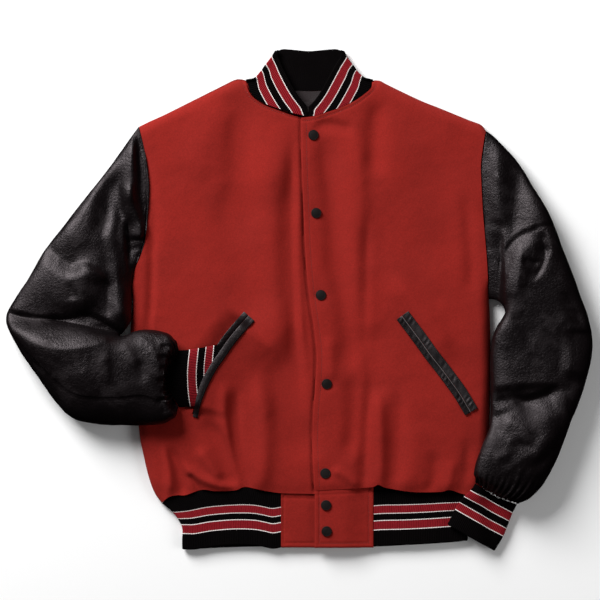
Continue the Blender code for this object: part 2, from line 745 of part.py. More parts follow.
def sleeve(name, rows, side_table, fold_table, look, stations=26, over=14, below=10):
    """The front and the back of a sleeve, sewn together along its outer and its inner edge."""
    rings = []
    for place in np.linspace(0, 1, stations):
        row = along(rows, place)
        share, height, turn = section(row)
        sewn = 1 - ease(place / 0.13)
        hole = armhole(side_table, rows[0][1], rows[0][3], share)
        plan = across_section(row, share) * (1 - sewn) + hole * sewn
        ring = np.column_stack([plan, height])
        steps = np.linalg.norm(np.diff(ring, axis=0), axis=1)
        reached = np.concatenate([[0.0], np.cumsum(steps)]) / steps.sum()
        outer, inner = np.interp([math.radians(row[8]), math.pi], turn, reached)
        gap = SLEEVE_SEAM / 2 / steps.sum()
        places = np.concatenate([
            closer_at_ends(outer + gap, inner - gap, over),
            closer_at_ends(inner + gap, outer + 1 - gap, below),
        ]) % 1.0
        line = np.stack([np.interp(places, reached, column) for column in ring.T], axis=-1)
        bottom, top = min(row[5:7]), row[7]
        lifted = ease((line[:, 2] - bottom) / (top - bottom) * 1.6 - 0.45)
        line[:, 2] += folds(fold_table, line[:, 0], line[:, 1]) * lifted
        rings.append(line)
    outer_rings = np.array(rings)
    spans = outer_rings[:, over] - outer_rings[:, 0]
    spans[:, 2] = 0.0
    round_ring = np.roll(outer_rings, -1, axis=1) - np.roll(outer_rings, 1, axis=1)
    outward = np.cross(round_ring, np.cross(UP, spans)[:, None])
    outward /= np.linalg.norm(outward, axis=2)[..., None]
    for one, other, shared in (
        (over - 1, over, spans),
        (-1, 0, outward[:, -1] + outward[:, 0]),
    ):
        outward[:, one] = outward[:, other] = shared / np.linalg.norm(shared, axis=1)[:, None]
    inner_rings = outer_rings - LEATHER * outward
    for part, columns in (("front", slice(0, over)), ("back", slice(over, None))):
        wall(f"{name}_{part}", outer_rings[:, columns], inner_rings[:, columns], look)


def cuff(name, rows, below, look, stations=7, around=20):
    """A tube of doubled rib knit. Below gives the height at plan points that it lies on."""
    middle = CUFF_HEIGHT / 2
    outer, inner = [], []
    for row in along(rows, np.linspace(0, 1, stations)):
        full = (*row, 0.0, 0.0, CUFF_HEIGHT, 0.0, 2.6)
        share, height, _ = section(full, 2.6, around)
        width = math.dist(row[0:2], row[2:4])
        for rings, narrower, lower in (
            (outer, 1.0, 1.0),
            (inner, 1.0 - 2 * RIB / width, 1.0 - 2 * RIB / CUFF_HEIGHT),
        ):
            plan = across_section(full, 0.5 + (share - 0.5) * narrower)
            level_z = middle + (height - middle) * lower
            rings.append(np.column_stack([plan, level_z + below(plan[:, 0], plan[:, 1])])[:-1])
    return cloth(name, tube_sheet(outer), np.array(inner).reshape(-1, 3), look)


def below_cuff_right(x, y):
    """On the front as far as the pocket's mouth, then down into the pocket."""
    place, aside = slit_frame(SLIT_RIGHT, x, y)
    lip = right_base(x, y) - LIP_LOWERED * (1 - ease(-aside / LIP_REACH_IN))
    inside = ease(aside / 30.0)
    return (lip + CUFF_CLEARANCE) * (1 - inside) + IN_POCKET * inside


def below_cuff_left(x, y):
    """On the body and on the waistband, and down beside them."""
    beside = ease((x - 265.0) / 26.0)
    on_body = ease((y + 312.0) / 26.0)
    return (BAND_FRONT + 1.0 + 7.0 * on_body) * (1 - beside) + 4.0 * beside


def fold_over(front, back, fold, columns=5):
    """Columns of points from a front's edge to a back's edge, round the fold that joins them."""
    made = []
    for angle in np.linspace(0, np.pi, columns + 2)[1:-1]:
        share = 0.5 - 0.5 * math.cos(angle)
        line = front * (1 - share) + back * share
        line[:, :2] += (fold - line[:, :2]) * math.sin(angle)
        made.append(line)
    return made


def strip(name, right, right_fold, back, left_fold, left, look):
    """A wall of rib knit from its right front, over the fold and along the back, to its left front.

    Each front starts at its fold, and the back runs from the right fold to the left one.
    """
    columns = list(np.swapaxes(right, 0, 1))[::-1]
    columns += fold_over(right[:, 0], back[:, 0], right_fold)
    columns += list(np.swapaxes(back, 0, 1))
    columns += fold_over(back[:, -1], left[:, 0], left_fold)
    columns += list(np.swapaxes(left, 0, 1))
    outer = np.transpose(np.array(columns), (1, 0, 2))[:, ::-1]
    return wall(name, outer, outer - RIB * normals(outer), look)


def seam_row(table, xs, gap=0.0):
    """Plan points on a table's curve at values of x, a gap below it."""
    curve = edge(table, np.linspace(0, 1, 200))
    curve = curve[np.argsort(curve[:, 0])]
    return np.column_stack([xs, np.interp(xs, curve[:, 0], curve[:, 1]) - gap])


def level(plan, height):
    return np.dstack([plan, np.full(plan.shape[:2], height)])


def waistband(look):
    """One strip, from the right tab round the right side, the back and the left side to the left tab."""
    rows = np.linspace(0, 1, STRIP_ROWS)
    places = np.linspace(0, 1, BAND_COLUMNS)
    back_places = np.linspace(0, 1, BAND_BACK_COLUMNS)
    radius = np.array([BAND_FRONT / 2, 0.0])
    right_fold, left_fold = edge(BAND_SIDE_RIGHT, rows), edge(BAND_SIDE_LEFT, rows)
    right_in, left_in = right_fold + radius, left_fold - radius
    fronts = []
    for hem, bottom, inner, tab_end in (
        (HEM_RIGHT, BAND_BOTTOM_RIGHT, right_in, TAB_RIGHT[0] - SEAM),
        (HEM_LEFT, BAND_BOTTOM_LEFT, left_in, TAB_LEFT[1] + SEAM),
    ):
        top = seam_row(hem, inner[-1, 0] + (tab_end - inner[-1, 0]) * places, HEM_SEAM)
        inner[-1] = top[0]
        free = seam_row(bottom, inner[0, 0] + (tab_end - inner[0, 0]) * places)
        free[0] = inner[0]
        end = np.linspace(free[-1], top[-1], len(rows))
        fronts.append(level(between(free, top, inner, end, places, rows), BAND_FRONT))
    back_xs = right_in[-1, 0] + (left_in[-1, 0] - right_in[-1, 0]) * back_places
    back_top = seam_row(BACK_HEM, back_xs, HEM_SEAM)
    back_top[0], back_top[-1] = right_in[-1], left_in[-1]
    back_free = edge((right_in[0], *BAND_BOTTOM_BACK, left_in[0]), back_places)
    back = level(between(back_free, back_top, right_in, left_in, back_places, rows), 0.0)
    return strip("waistband", fronts[0], right_fold, back, left_fold, fronts[1], look)


def tab(name, span, hem, height, look):
    """The wool end of the waistband at the front opening."""
    places, rows = np.linspace(0, 1, 7), np.linspace(0, 1, STRIP_ROWS)
    xs = span[0] + (span[1] - span[0]) * places
    top = seam_row(hem, xs, SEAM)
    bottom = np.column_stack([xs, np.full(len(xs), TAB_BOTTOM)])
    ends = [np.linspace(bottom[k], top[k], len(rows)) for k in (0, -1)]
    plan = between(bottom, top, *ends, places, rows)
    points = np.dstack([plan, height(plan[..., 0])])
    return panel(name, points, WOOL, WOOL + SEAM, look)


def tab_right_height(x):
    return np.full_like(x, BAND_FRONT)


def tab_left_height(x):
    """On the right tab as far as that goes, then down to the waistband."""
    return BAND_FRONT + (LAP + 1.5) * (1 - ease((x - TAB_RIGHT[1]) / 42.0))


def collar(look):
    """One strip, from the right front round the back of the neck to the left front."""
    rows = np.linspace(0, 1, STRIP_ROWS)
    places = np.linspace(0, 1, COLLAR_COLUMNS)
    across = np.linspace(0, 1, COLLAR_BACK_COLUMNS)
    rise = COLLAR_FOLD + (COLLAR_FRONT - COLLAR_FOLD) * ease(places * 1.3)
    folds_at, fronts = [], []
    for side, neck, free, turn, centre in (
        (COLLAR_SIDE_RIGHT, NECK_RIGHT, COLLAR_FREE_RIGHT, 1.0, COLLAR_CENTRE - 0.6),
        (COLLAR_SIDE_LEFT, NECK_LEFT, COLLAR_FREE_LEFT, -1.0, COLLAR_CENTRE + 0.6),
    ):
        fold = edge(side, rows)
        line = edge(neck, np.linspace(0, 1, 200))
        line = line[(line[:, 0] - centre) * turn <= 0]
        line = line + np.array([0.0, COLLAR_SEAM])
        inner = fold + np.array([turn * COLLAR_FOLD_WIDTH, 0.0]) * (0.6 + 0.4 * rows)[:, None]
        low = by_length(np.vstack([inner[:1], line[np.abs(line[:, 0] - fold[0, 0]) > 5.5]]), places)
        high_line = edge(free, np.linspace(0, 1, 60))
        high = by_length(np.vstack([inner[-1:], high_line[6:]]), places)
        end = np.linspace(low[-1], high[-1], len(rows))
        plan = between(low, high, inner, end, places, rows)
        fronts.append(np.dstack([plan, np.broadcast_to(rise, plan.shape[:2])]))
        folds_at.append(fold)
    right, left = fronts
    right_in, left_in = right[:, 0, :2], left[:, 0, :2]
    low = seam_row(NECK_BACK, right_in[0, 0] + (left_in[0, 0] - right_in[0, 0]) * across, -SEAM)
    low[0], low[-1] = right_in[0], left_in[0]
    high = edge((right_in[-1], *COLLAR_FREE_BACK[1:-1], left_in[-1]), across)
    back = level(between(low, high, right_in, left_in, across, rows), 0.0)
    return strip("collar", right, folds_at[0], back, folds_at[1], left, look)


class Surface:
    """The outer side of a built piece, for what is sewn on it."""

    def __init__(self, piece):
        self.cloth = bmesh.new()
        self.cloth.from_mesh(piece.data)
        self.tree = BVHTree.FromBMesh(self.cloth)

    def under(self, x, y):
        hit, normal, _, _ = self.tree.ray_cast(Vector((x, y, 100.0)) * MM, Vector((0, 0, -1)))
        return hit / MM, normal


def welt(name, surface, slit, near, far, lip, look):
    """A leather strip laid on a front beside a pocket's mouth, from near to far to the right of it.

    The strip takes its height from the lip's side of the mouth, at least as far from the mouth as lip.
    """
    places = np.linspace(-0.03, 1.03, 19)
    ends = edge(slit, np.clip(places, 0, 1))
    run = np.gradient(edge(slit, np.linspace(0, 1, 19)), axis=0)
    run /= np.linalg.norm(run, axis=1)[:, None]
    middle = ends + run * ((places - np.clip(places, 0, 1)) * 180.0)[:, None]
    aside = np.column_stack([-run[:, 1], run[:, 0]])
    points = []
    for share in np.linspace(0, 1, 3):
        offset = near + (far - near) * share
        held = max(offset, lip) if lip > 0 else min(offset, lip)
        heights = [surface.under(*point)[0].z for point in middle + aside * held]
        crown = WELT_LIFT + WELT + 0.7 * math.sin(math.pi * share)
        plan = middle + aside * offset
        points.append(np.column_stack([plan, np.array(heights) + crown]))
    grid = np.array(points)
    if normals(grid)[1, 5, 2] < 0:
        grid = grid[::-1]
    return wall(name, grid, grid - WELT * normals(grid), look)


def snap(name, surface, x, y, look):
    """The domed cap of a snap, square to the cloth that it is set in."""
    place, normal = surface.under(x, y)
    cap = bmesh.new()
    profile = [cap.verts.new(Vector((SNAP_RADIUS * r, 0.0, z)) * MM) for r, z in SNAP_PROFILE]
    edges = [cap.edges.new(pair) for pair in zip(profile, profile[1:])]
    bmesh.ops.spin(
        cap, geom=profile + edges, axis=(0, 0, 1), cent=(0, 0, 0), steps=14, angle=2 * math.pi
    )
    bmesh.ops.remove_doubles(cap, verts=cap.verts, dist=0.01 * MM)
    tilt = Vector((0, 0, 1)).rotation_difference(normal).to_matrix()
    bmesh.ops.transform(cap, matrix=tilt.to_4x4(), verts=cap.verts)
    bmesh.ops.translate(cap, vec=(place + normal * SNAP_LIFT) * MM, verts=cap.verts)
    return finish(name, cap, look)


def main():
    clear_scene()
    wool = material("red_wool", RED_WOOL)
    leather = material("black_leather", BLACK_LEATHER)
    rib = material("black_rib", BLACK_RIB)
    lining = material("charcoal_lining", CHARCOAL_LINING)
    enamel = material("black_enamel", BLACK_ENAMEL)
    back_panel(wool)
    right = Surface(front_right(wool))
    left = Surface(front_left(wool))
    sleeve("sleeve_right", SLEEVE_RIGHT, SIDE_RIGHT, FOLDS_SLEEVE_RIGHT, leather)
    sleeve("sleeve_left", SLEEVE_LEFT, SIDE_LEFT, FOLDS_SLEEVE_LEFT, leather)
    cuff("cuff_right", CUFF_RIGHT, below_cuff_right, rib)
    cuff("cuff_left", CUFF_LEFT, below_cuff_left, rib)
    waistband(rib)
    tab("tab_right", TAB_RIGHT, HEM_RIGHT, tab_right_height, wool)
    left_tab = Surface(tab("tab_left", TAB_LEFT, HEM_LEFT, tab_left_height, wool))
    collar(rib)
    plate("neck_lining", LINING_OUTLINE, WOOL + SEAM, LINING, lining)
    welt("welt_right_inner", right, SLIT_RIGHT, -13.0, -4.3, -2.4, leather)
    welt("welt_right_outer", right, SLIT_RIGHT, -4.0, 8.0, 2.4, leather)
    welt("welt_left_inner", left, SLIT_LEFT, 0.3, 11.5, 0.3, leather)
    welt("welt_left_outer", left, SLIT_LEFT, -10.3, -0.3, -0.3, leather)
    for index, (x, y) in enumerate(SNAPS, start=1):
        snap(f"snap_{index}", left if y > TAB_TOP else left_tab, x, y, enamel)


main()
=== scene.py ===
"""A varsity jacket laid flat on its back, dressed in melton wool, leather and striped rib knit.

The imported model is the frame. Each piece made here stands for the nodes of one cut piece, on the same
outlines, in a finer mesh that has the cloth's folds, gathers, ribs and sewing. Right and left are the
wearer's, so the right side is at -X. Tables and sizes in the functions are in millimetres, and the
properties are in metres, as Blender shows them.
"""

import math

import bmesh
import bpy
import numpy as np
from mathutils import Matrix, Vector, noise
from mathutils.bvhtree import BVHTree


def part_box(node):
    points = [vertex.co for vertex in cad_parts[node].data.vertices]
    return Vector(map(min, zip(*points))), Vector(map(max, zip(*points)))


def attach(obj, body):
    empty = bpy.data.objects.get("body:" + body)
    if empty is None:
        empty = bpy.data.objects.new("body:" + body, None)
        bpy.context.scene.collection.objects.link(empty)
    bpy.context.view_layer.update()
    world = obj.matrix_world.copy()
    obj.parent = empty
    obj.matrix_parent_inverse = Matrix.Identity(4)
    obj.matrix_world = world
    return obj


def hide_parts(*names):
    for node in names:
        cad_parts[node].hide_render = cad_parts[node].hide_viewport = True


bl_info = {
    "name": "Varsity Jacket",
    "version": (1, 0, 0),
    "blender": (4, 5, 0),
    "location": "View3D > Sidebar > Jacket",
    "description": "Dresses the model of a laid varsity jacket in wool, leather and rib knit",
    "category": "Object",
}

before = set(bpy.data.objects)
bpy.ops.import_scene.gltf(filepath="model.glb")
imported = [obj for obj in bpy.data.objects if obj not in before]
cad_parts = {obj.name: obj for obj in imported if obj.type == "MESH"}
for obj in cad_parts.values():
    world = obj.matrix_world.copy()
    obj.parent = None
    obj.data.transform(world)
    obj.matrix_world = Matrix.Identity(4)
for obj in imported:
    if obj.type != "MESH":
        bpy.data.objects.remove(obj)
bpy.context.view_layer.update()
BODY = "root"
MM = 0.001
SHARP_ANGLE = math.radians(70)

# Thickness of each cloth, and the gaps that part two pieces at a seam
WOOL = 3.0
LEATHER = 2.0
RIB = 4.0
LINING = 1.0
SEAM = 0.3
HEM_SEAM = 0.6
COLLAR_SEAM = 0.6

# Heights above the surface that the jacket lies on. A front's troughs stay above LEAST_FRONT, and its
# edges come down to FOOT.
CHEST = 16.0
LEAST_FRONT = 8.0
FOOT = 5.0
BAND_FRONT = 11.5
CUFF_HEIGHT = 11.0
COLLAR_FOLD = 13.0
COLLAR_FRONT = 19.0
IN_POCKET = 4.5

# How much higher the left front lies than the right one, how far the cuff stays off the right one, the
# room that the knits leave for their ribs, and the radius of rounded edges
LAP = 5.0
CUFF_CLEARANCE = 3.8
RIB_ROOM = 0.6
EDGE_ROUND = 17.0

# The least share of its thickness that a wall keeps at a rounded free edge
LEAST_EDGE = 0.12

# Where the right forearm presses the front down, and how far
FOREARM_SIDE = -190.0
FOREARM_TOP = -20.0
FOREARM_LOW = -210.0
PRESSED = 3.0

# Where the waistband draws the fronts in, over what distance, and by what share of their height
HEM_LINE = -290.0
HEM_REACH = 11.0
HEM_DRAWN_IN = 0.20

# The fronts' rounded sides open to the sleeves from this far below the underarm, over this distance
OPEN_BELOW = 8.0
OPEN_OVER = 45.0

# How fine the meshes are: counts of points, or parts for zones. CURVE_POINTS are for each row of a table.
CURVE_POINTS = 12
FRONT_ROWS = ((0, 8), (0.03, 200), (0.98, 8))
RIGHT_COLUMNS = ((0, 6), (0.03, 123), (0.97, 4))
LEFT_COLUMNS = ((0, 10), (0.012, 8), (0.05, 108), (0.97, 5))
BACK_ROWS = 121
BACK_COLUMNS = 101
SLEEVE_RINGS = ((0, 6), (0.012, 216), (0.985, 6))
SLEEVE_OVER = 120
SLEEVE_UNDER = 40
CUFF_RINGS = ((0, 3), (0.04, 20), (0.965, 4))
CUFF_AROUND = 440
BAND_ROWS = ((0, 4), (0.03, 12))
BAND_COLUMNS = 1740
COLLAR_ROWS = ((0, 16), (0.94, 4))
COLLAR_COLUMNS = 1300
TAB_ROWS = ((0, 8), (0.06, 44))
TAB_COLUMNS = ((0, 8), (0.08, 44), (0.92, 8))
WELT_ROWS = ((0, 4), (0.12, 10), (0.88, 4))
WELT_COLUMNS = 170
SNAP_SIDES = 40

# Tables of plan points hold x and y, and a smooth curve runs through them.

# The side of the body from the hem to the underarm, then the armhole up to the shoulder
SIDE_RIGHT = (
    (-208, -304), (-219, -288), (-228, -263), (-235, -233), (-241, -203), (-244, -164), (-248, -104),
    (-254.5, -52), (-253, -24), (-251.5, 0), (-255, 22), (-252, 33), (-247, 49), (-239, 67), (-232, 91),
    (-228, 127), (-226, 166), (-229, 203), (-234, 230), (-239, 251), (-242, 261),
)
SIDE_LEFT = (
    (265, -299), (272, -284), (277, -263), (281, -233), (284, -203), (285, -172), (286, -104),
    (286, -44), (284, 1), (282, 25), (280, 61), (277, 97), (274, 133), (272, 169), (271, 203),
    (274, 229), (277, 247), (280, 254),
)
UNDERARM_RIGHT = 22.0
UNDERARM_LEFT = 1.0

# The fold along each shoulder, from the armhole to the neck, and how much its slope shortens distances
SHOULDER_SLOPE = 0.9
SHOULDER_RIGHT = (
    (-242, 261), (-224, 270), (-202, 280), (-160, 301), (-114, 324), (-100, 331), (-91, 333), (-82, 331),
)
SHOULDER_LEFT = (
    (280, 254), (272, 264), (254, 271), (210, 289), (180, 301), (132, 324), (121, 330), (112, 331),
)

# The neckline of each front, from the shoulder to the centre
NECK_RIGHT = (
    (-82, 331), (-78.5, 320), (-73, 310), (-63, 301), (-51, 294), (-28, 286), (-13, 281), (5, 277),
    (18, 275), (40, 278),
)
NECK_LEFT = (
    (112, 331), (110, 326), (107, 319), (100, 312), (85, 301), (72, 294), (55, 287), (40, 282),
    (24, 277), (12, 275), (2, 274),
)
NECK_BACK = (
    (-82, 331), (-50, 321), (-15, 316), (15, 315), (48, 317), (80, 322), (112, 331),
)

# The seam of each front to the waistband, from the side to the centre
HEM_RIGHT = (
    (-208, -304), (-197, -295), (-184, -292), (-172, -292), (-147, -284), (-127, -286), (-98, -285),
    (-84, -280), (-69, -282), (-50, -286), (-28, -289), (10, -290), (60, -291),
)
HEM_LEFT = (
    (265, -299), (254, -293), (240, -289), (224, -284), (209, -287), (169, -287), (130, -281),
    (117, -276), (106, -280), (60, -283), (22, -285),
)
BACK_HEM = (
    (-208, -304), (-197, -295), (-184, -292), (-140, -290), (20, -289), (190, -289), (240, -289),
    (254, -293), (265, -299),
)

# The free edge of the left front, from the hem to the neck, and how far the right front goes on under it
FRONT_EDGE = (
    (22, -285), (20, -247), (19, -209), (20, -167), (23, -134), (25, -97), (25, -77), (21, -40),
    (13, 16), (8, 76), (6, 128), (3, 203), (2, 274),
)
UNDERLAP = 38.0

# Soft folds. A fold runs between two points, its middle pushed aside by bow, and falls away over width.
# Skew makes the side to the left of its run narrower. A negative height is a trough.
FOLDS_FRONT = (
    # x0, y0, x1, y1, bow, width, height, skew
    (-90, 290, -99, 105, 3, 24, -6.0, -0.1),
    (-100, 150, -68, -20, 0, 52, -6.0, -0.35),
    (-30, 235, -24, -95, 2, 38, 6.0, 0.5),
    (-14, 200, -3, -125, -5, 13, -8.0, 0.35),
    (-3, 150, 5, -80, -4, 6, 2.0, 0.0),
    (-34, -84, 14, -222, -6, 21, -6.5, 0.2),
    (-60, -130, -58, -276, 6, 15, 5.5, 0.0),
    (-98, -150, -77, -282, -4, 12, -8.5, 0.35),
    (-113, -142, -91, -278, -5, 9, 5.5, 0.1),
    (-137, -186, -99, -278, 7, 13, -6.0, 0.2),
    (-172, -250, -100, -280, -7, 7, 4.0, 0.0),
    (-150, -225, -122, -266, 0, 9, 3.5, 0.0),
    (-194, -225, -176, -288, 3, 8, -4.5, 0.0),
    (-204, -222, -196, -290, 3, 7, 3.5, 0.0),
    (-166, -262, -150, -290, 2, 5, -3.0, 0.0),
    (-222, 95, -226, -36, 2, 6, -3.5, 0.2),
    (-238, 225, -222, 80, 6, 12, -2.5, 0.2),
    (-122, 286, -150, 190, -6, 30, 3.0, 0.0),
    # the left front
    (26, 263, 76, 257, 3, 9, -3.0, 0.2),
    (37, 234, 53, 58, 3, 17, -6.5, -0.1),
    (53, 62, 76, -94, 5, 17, -7.0, 0.0),
    (84, 242, 93, -40, 2, 22, 4.5, 0.3),
    (117, 290, 112, 196, -3, 15, -4.5, 0.0),
    (99, 112, 96, -52, 0, 10, -4.0, 0.1),
    (101, -48, 113, -142, 0, 20, -4.5, -0.2),
    (44, -60, 47, -116, 0, 10, 2.5, 0.0),
    (79, -118, 74, -228, 4, 12, -4.5, 0.1),
    (103, -143, 98, -282, -2, 9, -5.5, 0.2),
    (118, -150, 120, -276, 2, 10, 4.0, 0.0),
    (147, -138, 140, -282, 3, 14, -3.8, 0.2),
    (176, -190, 160, -280, 3, 18, 2.2, 0.0),
    (204, -232, 194, -284, 3, 10, -2.2, 0.0),
    (228, -244, 218, -286, 2, 8, 2.0, 0.1),
    (251, -215, 240, -288, 4, 9, -1.8, 0.0),
    (140, 28, 222, -72, 5, 18, 4.5, 0.2),
    (52, -254, 86, -278, 2, 7, 2.5, 0.0),
    (196, 215, 214, 60, 10, 40, -3.0, 0.2),
    (248, 150, 256, 20, 3, 10, -2.5, 0.0),
)

# The right pocket's mouth from its upper end to its lower one, how wide it is cut, and how the cuff in it
# parts the lips
SLIT_RIGHT = (
    (-78, -29), (-91.5, -44.5), (-105, -61), (-118.5, -80.5), (-133, -101.5), (-145.5, -125.5),
    (-154.5, -148), (-160, -169),
)
SLIT_GAP = 3.0
LIP_RAISED = 10.0
LIP_LOWERED = 9.0
LIP_REACH_OUT = 62.0
LIP_REACH_IN = 40.0
LIP_TAPER = 0.09

# The left pocket's mouth, which is closed
SLIT_LEFT = (
    (156, -27), (180, -59), (195, -80), (210, -99), (225, -119), (240, -140), (256, -167),
)

# The pockets' welts: thickness, height over the cloth, bulge, and the length from end to end of a mouth
WELT = 1.6
WELT_LIFT = 0.8
WELT_CROWN = 0.9
WELT_LENGTH = 180.0
WELTS = (
    # side, place, last, near, far, lip, narrowed, pinched, finish
    ("right", "inner", 0.95, -13.0, -4.3, -2.4, 5.0, 0.1, "welt_leather"),
    ("right", "outer", 1.03, -4.0, 8.4, 2.4, 4.0, 0.06, "welt_leather"),
    # The left inner welt has a painted sheen, and the outer one a painted highlight along its fold
    ("left", "inner", 1.0, 0.02, 11.8, 0.3, 0.0, 0.5, "rubbed_leather"),
    ("left", "outer", 1.0, -10.3, -0.02, -0.3, 0.0, 0.3, "folded_leather"),
)

# A sleeve's sections from the armhole to the cuff. A section runs from an outer to an inner point, its
# middle pushed to the cuff by sag. It stands from a bottom, given for each side, to a top. Seam is the
# angle, up from the outer edge, at which the front and the back are sewn together.
SLEEVE_RIGHT = (
    # outer x, y, inner x, y, sag, outer bottom, inner bottom, top, seam, boxy
    (-242, 261, -256, 22, -18, 0, 0, 15, 0, 6.0),
    (-258, 241, -255, 16, -14, 0, 0, 16, 0, 4.0),
    (-292, 193, -252, 1, -4, 0, 0, 22, 2, 3.1),
    (-330, 145, -252.5, -16, 4, 0, 0, 33, 4, 3.1),
    (-360, 106, -253, -29, 6, 0, 0, 39, 6, 3.1),
    (-383, 75, -257, -37.5, 6, 0, 0, 41, 8, 3.1),
    (-408, 33, -262, -44, 4, 0, 0, 39, 10, 3.1),
    (-435, -9, -267, -49.5, 0, 0, 0, 34, 14, 3.1),
    (-441, -28, -270, -52, -6, 0, 0, 40, 18, 3.1),
    (-435, -48, -268, -54, -4, 0, 1, 54, 24, 2.8),
    (-415, -83, -264, -53, 0, 0, 2, 60, 34, 2.3),
    (-390, -119, -259, -51, 3, 0, 5, 61, 44, 2.3),
    (-364, -155, -252, -48, 5, 0, 8, 62, 54, 2.3),
    (-337, -178, -243, -45, 6, 2, 11, 62, 66, 2.3),
    (-294, -186, -230, -43, 6, 6, 16, 62, 70, 2.3),
    (-245, -187, -213, -45, 4, 15, 17, 60, 72, 2.3),
    (-208, -185, -196, -50, -3, 18, 18, 57, 70, 3.2),
    (-190, -177, -188, -58, -15, 19, 19, 55, 66, 3.4),
    (-186, -172, -184.5, -62, -18, 19, 19, 48, 62, 3.2),
    (-184, -160, -182, -75, -18, 18, 18, 34, 54, 2.6),
)
SLEEVE_LEFT = (
    # outer x, y, inner x, y, sag, outer bottom, inner bottom, top, seam, boxy
    (280, 254, 286, 2, -8, 0, 0, 19, 0, 6.0),
    (298, 241, 290, 2, -6, 0, 0, 24, 0, 4.0),
    (324, 212, 295, 0, -2, 0, 0, 34, 0, 3.1),
    (347, 175, 301, -4, 2, 0, 0, 42, 0, 3.6),
    (369, 138, 306, -12, 4, 0, 0, 45, 2, 4.0),
    (386, 99, 307, -19, 5, 0, 0, 46, 4, 4.2),
    (402, 56, 303, -27, 5, 0, 0, 46, 6, 4.2),
    (417, 16, 296, -37, 4, 0, 0, 46, 8, 4.2),
    (430, -19, 289, -52, 2, 0, 0, 46, 10, 4.2),
    (438, -53, 285.5, -74, 0, 0, 0, 45, 12, 4.2),
    (437, -85, 285, -101, -2, 0, 0, 44, 14, 4.2),
    (430, -116, 285.5, -131, -3, 0, 1, 43, 14, 4.2),
    (420, -146, 285.5, -160, -2, 0, 6, 49, 14, 3.8),
    (407, -179, 284, -187, 0, 0, 16, 53, 14, 3.1),
    (395, -212, 273, -214, 4, 0, 23, 55, 14, 3.1),
    (380, -248, 264, -239, 8, 1, 24, 54, 14, 3.1),
    (364, -275, 260, -258, 10, 2, 24, 50, 12, 3.1),
    (345, -295, 263, -264, 8, 3, 22, 42, 10, 3.1),
    (327, -304, 263, -272, 4, 4, 20, 32, 8, 3.1),
)

# Creases in the leather. Each has flat sides that fall away from its line over a reach of its own to the
# left and the right of its run. A negative height is a valley.
PLEATS_RIGHT = (
    # x0, y0, x1, y1, bow, left, right, height
    (-262, 226, -372, 80, 5, 66, 12, 3.5),
    (-250, 240, -252, 150, 0, 7, 20, 9.0),
    (-256, 170, -234, 100, -3, 9, 18, 8.0),
    (-246, 250, -238, 150, 2, 9, 6, -3.0),
    (-272, 190, -264, 116, -4, 7, 12, -6.0),
    (-264, 114, -261, 40, 0, 5, 12, 4.0),
    (-258, 122, -256, 62, 0, 20, 5, -8.0),
    (-256, 98, -236, 96, 0, 17, 4, 6.0),
    (-256, 84, -236, 86, 0, 7, 5, 1.8),
    (-256, 71, -238, 73, 0, 7, 5, 1.6),
    (-256, 56, -242, 58, 0, 8, 6, 1.4),
    (-288, 182, -294, 104, 3, 11, 20, -8.0),
    (-289, 130, -272, 22, 3, 10, 12, 4.5),
    (-386, 88, -330, 46, -3, 34, 20, -8.0),
    (-323, 48, -324, -12, 1, 34, 44, 6.5),
    (-343, 26, -338, 2, 0, 7, 11, -2.5),
    (-289, 34, -289, -24, 0, 13, 34, -7.0),
    (-330, 54, -288, 27, 2, 8, 34, 5.0),
    (-262, 26, -268, -28, 0, 9, 16, 4.0),
    (-442, -17, -322, -21, -11, 7, 27, -9.0),
    (-328, -19, -266, -50, 2, 7, 17, -9.0),
    (-416, -58, -272, -53, -17, 20, 90, 9.0),
    (-262, -64, -240, -94, 0, 12, 14, 3.0),
    (-243, -74, -234, -120, 2, 10, 9, -3.0),
    (-226, -62, -208, -118, 4, 12, 14, 3.0),
    (-290, -80, -286, -120, 0, 8, 11, 2.0),
    (-330, -100, -314, -146, 3, 14, 18, 2.0),
    (-206, -68, -187, -70, 0, 5, 6, -2.6),
    (-209, -84, -188, -88, 0, 5, 7, -3.2),
    (-207, -101, -187, -104, 0, 5, 6, -2.6),
    (-210, -119, -188, -121, 0, 5, 6, -3.4),
    (-206, -134, -186, -135, 0, 5, 6, -2.6),
    (-212, -150, -188, -146, 0, 5, 7, -3.2),
    (-206, -163, -187, -158, 0, 5, 5, -2.6),
)
PLEATS_LEFT = (
    # x0, y0, x1, y1, bow, left, right, height
    (328, 200, 324, 98, 3, 36, 22, -4.5),
    (323, 198, 312, 62, 3, 26, 30, -4.5),
    (298, 232, 300, 118, -3, 18, 14, 3.5),
    (386, 112, 344, 104, -4, 14, 3, -2.6),
    (348, 106, 301, 54, -9, 17, 5, -3.6),
    (361, 100, 367, 70, 0, 8, 14, -5.0),
    (368, 76, 350, 34, 3, 5, 17, -3.6),
    (331, 84, 320, 6, 2, 13, 22, 4.0),
    (300, 96, 299, -10, 0, 5, 22, -7.0),
    (333, 62, 356, 56, -2, 5, 8, -2.5),
    (284, 118, 308, 108, 0, 7, 9, -2.0),
    (292, 186, 306, 178, 0, 6, 8, 1.5),
    (318, -22, 346, -62, 3, 14, 12, -3.0),
    (396, 8, 420, -36, 3, 10, 14, -2.5),
    (402, -49, 442, -51, 0, 6, 24, -4.0),
    (392, -102, 438, -108, 0, 50, 16, 6.0),
    (288, -126, 392, -122, 2, 40, 9, 5.0),
    (330, -152, 382, -136, -2, 9, 30, -7.5),
    (280, -180, 345, -150, 0, 22, 56, -8.0),
    (290, -150, 334, -145, 0, 15, 12, -6.0),
    (303, -178, 345, -200, 2, 12, 15, 3.0),
    (306, -257, 373, -204, 0, 10, 14, 2.0),
    (350, -248, 393, -206, -3, 9, 12, -3.0),
    (318, -212, 352, -222, 0, 8, 10, -2.5),
    (290, -236, 312, -228, 0, 8, 10, 2.0),
    (322, -272, 330, -250, 0, 7, 7, 1.5),
)

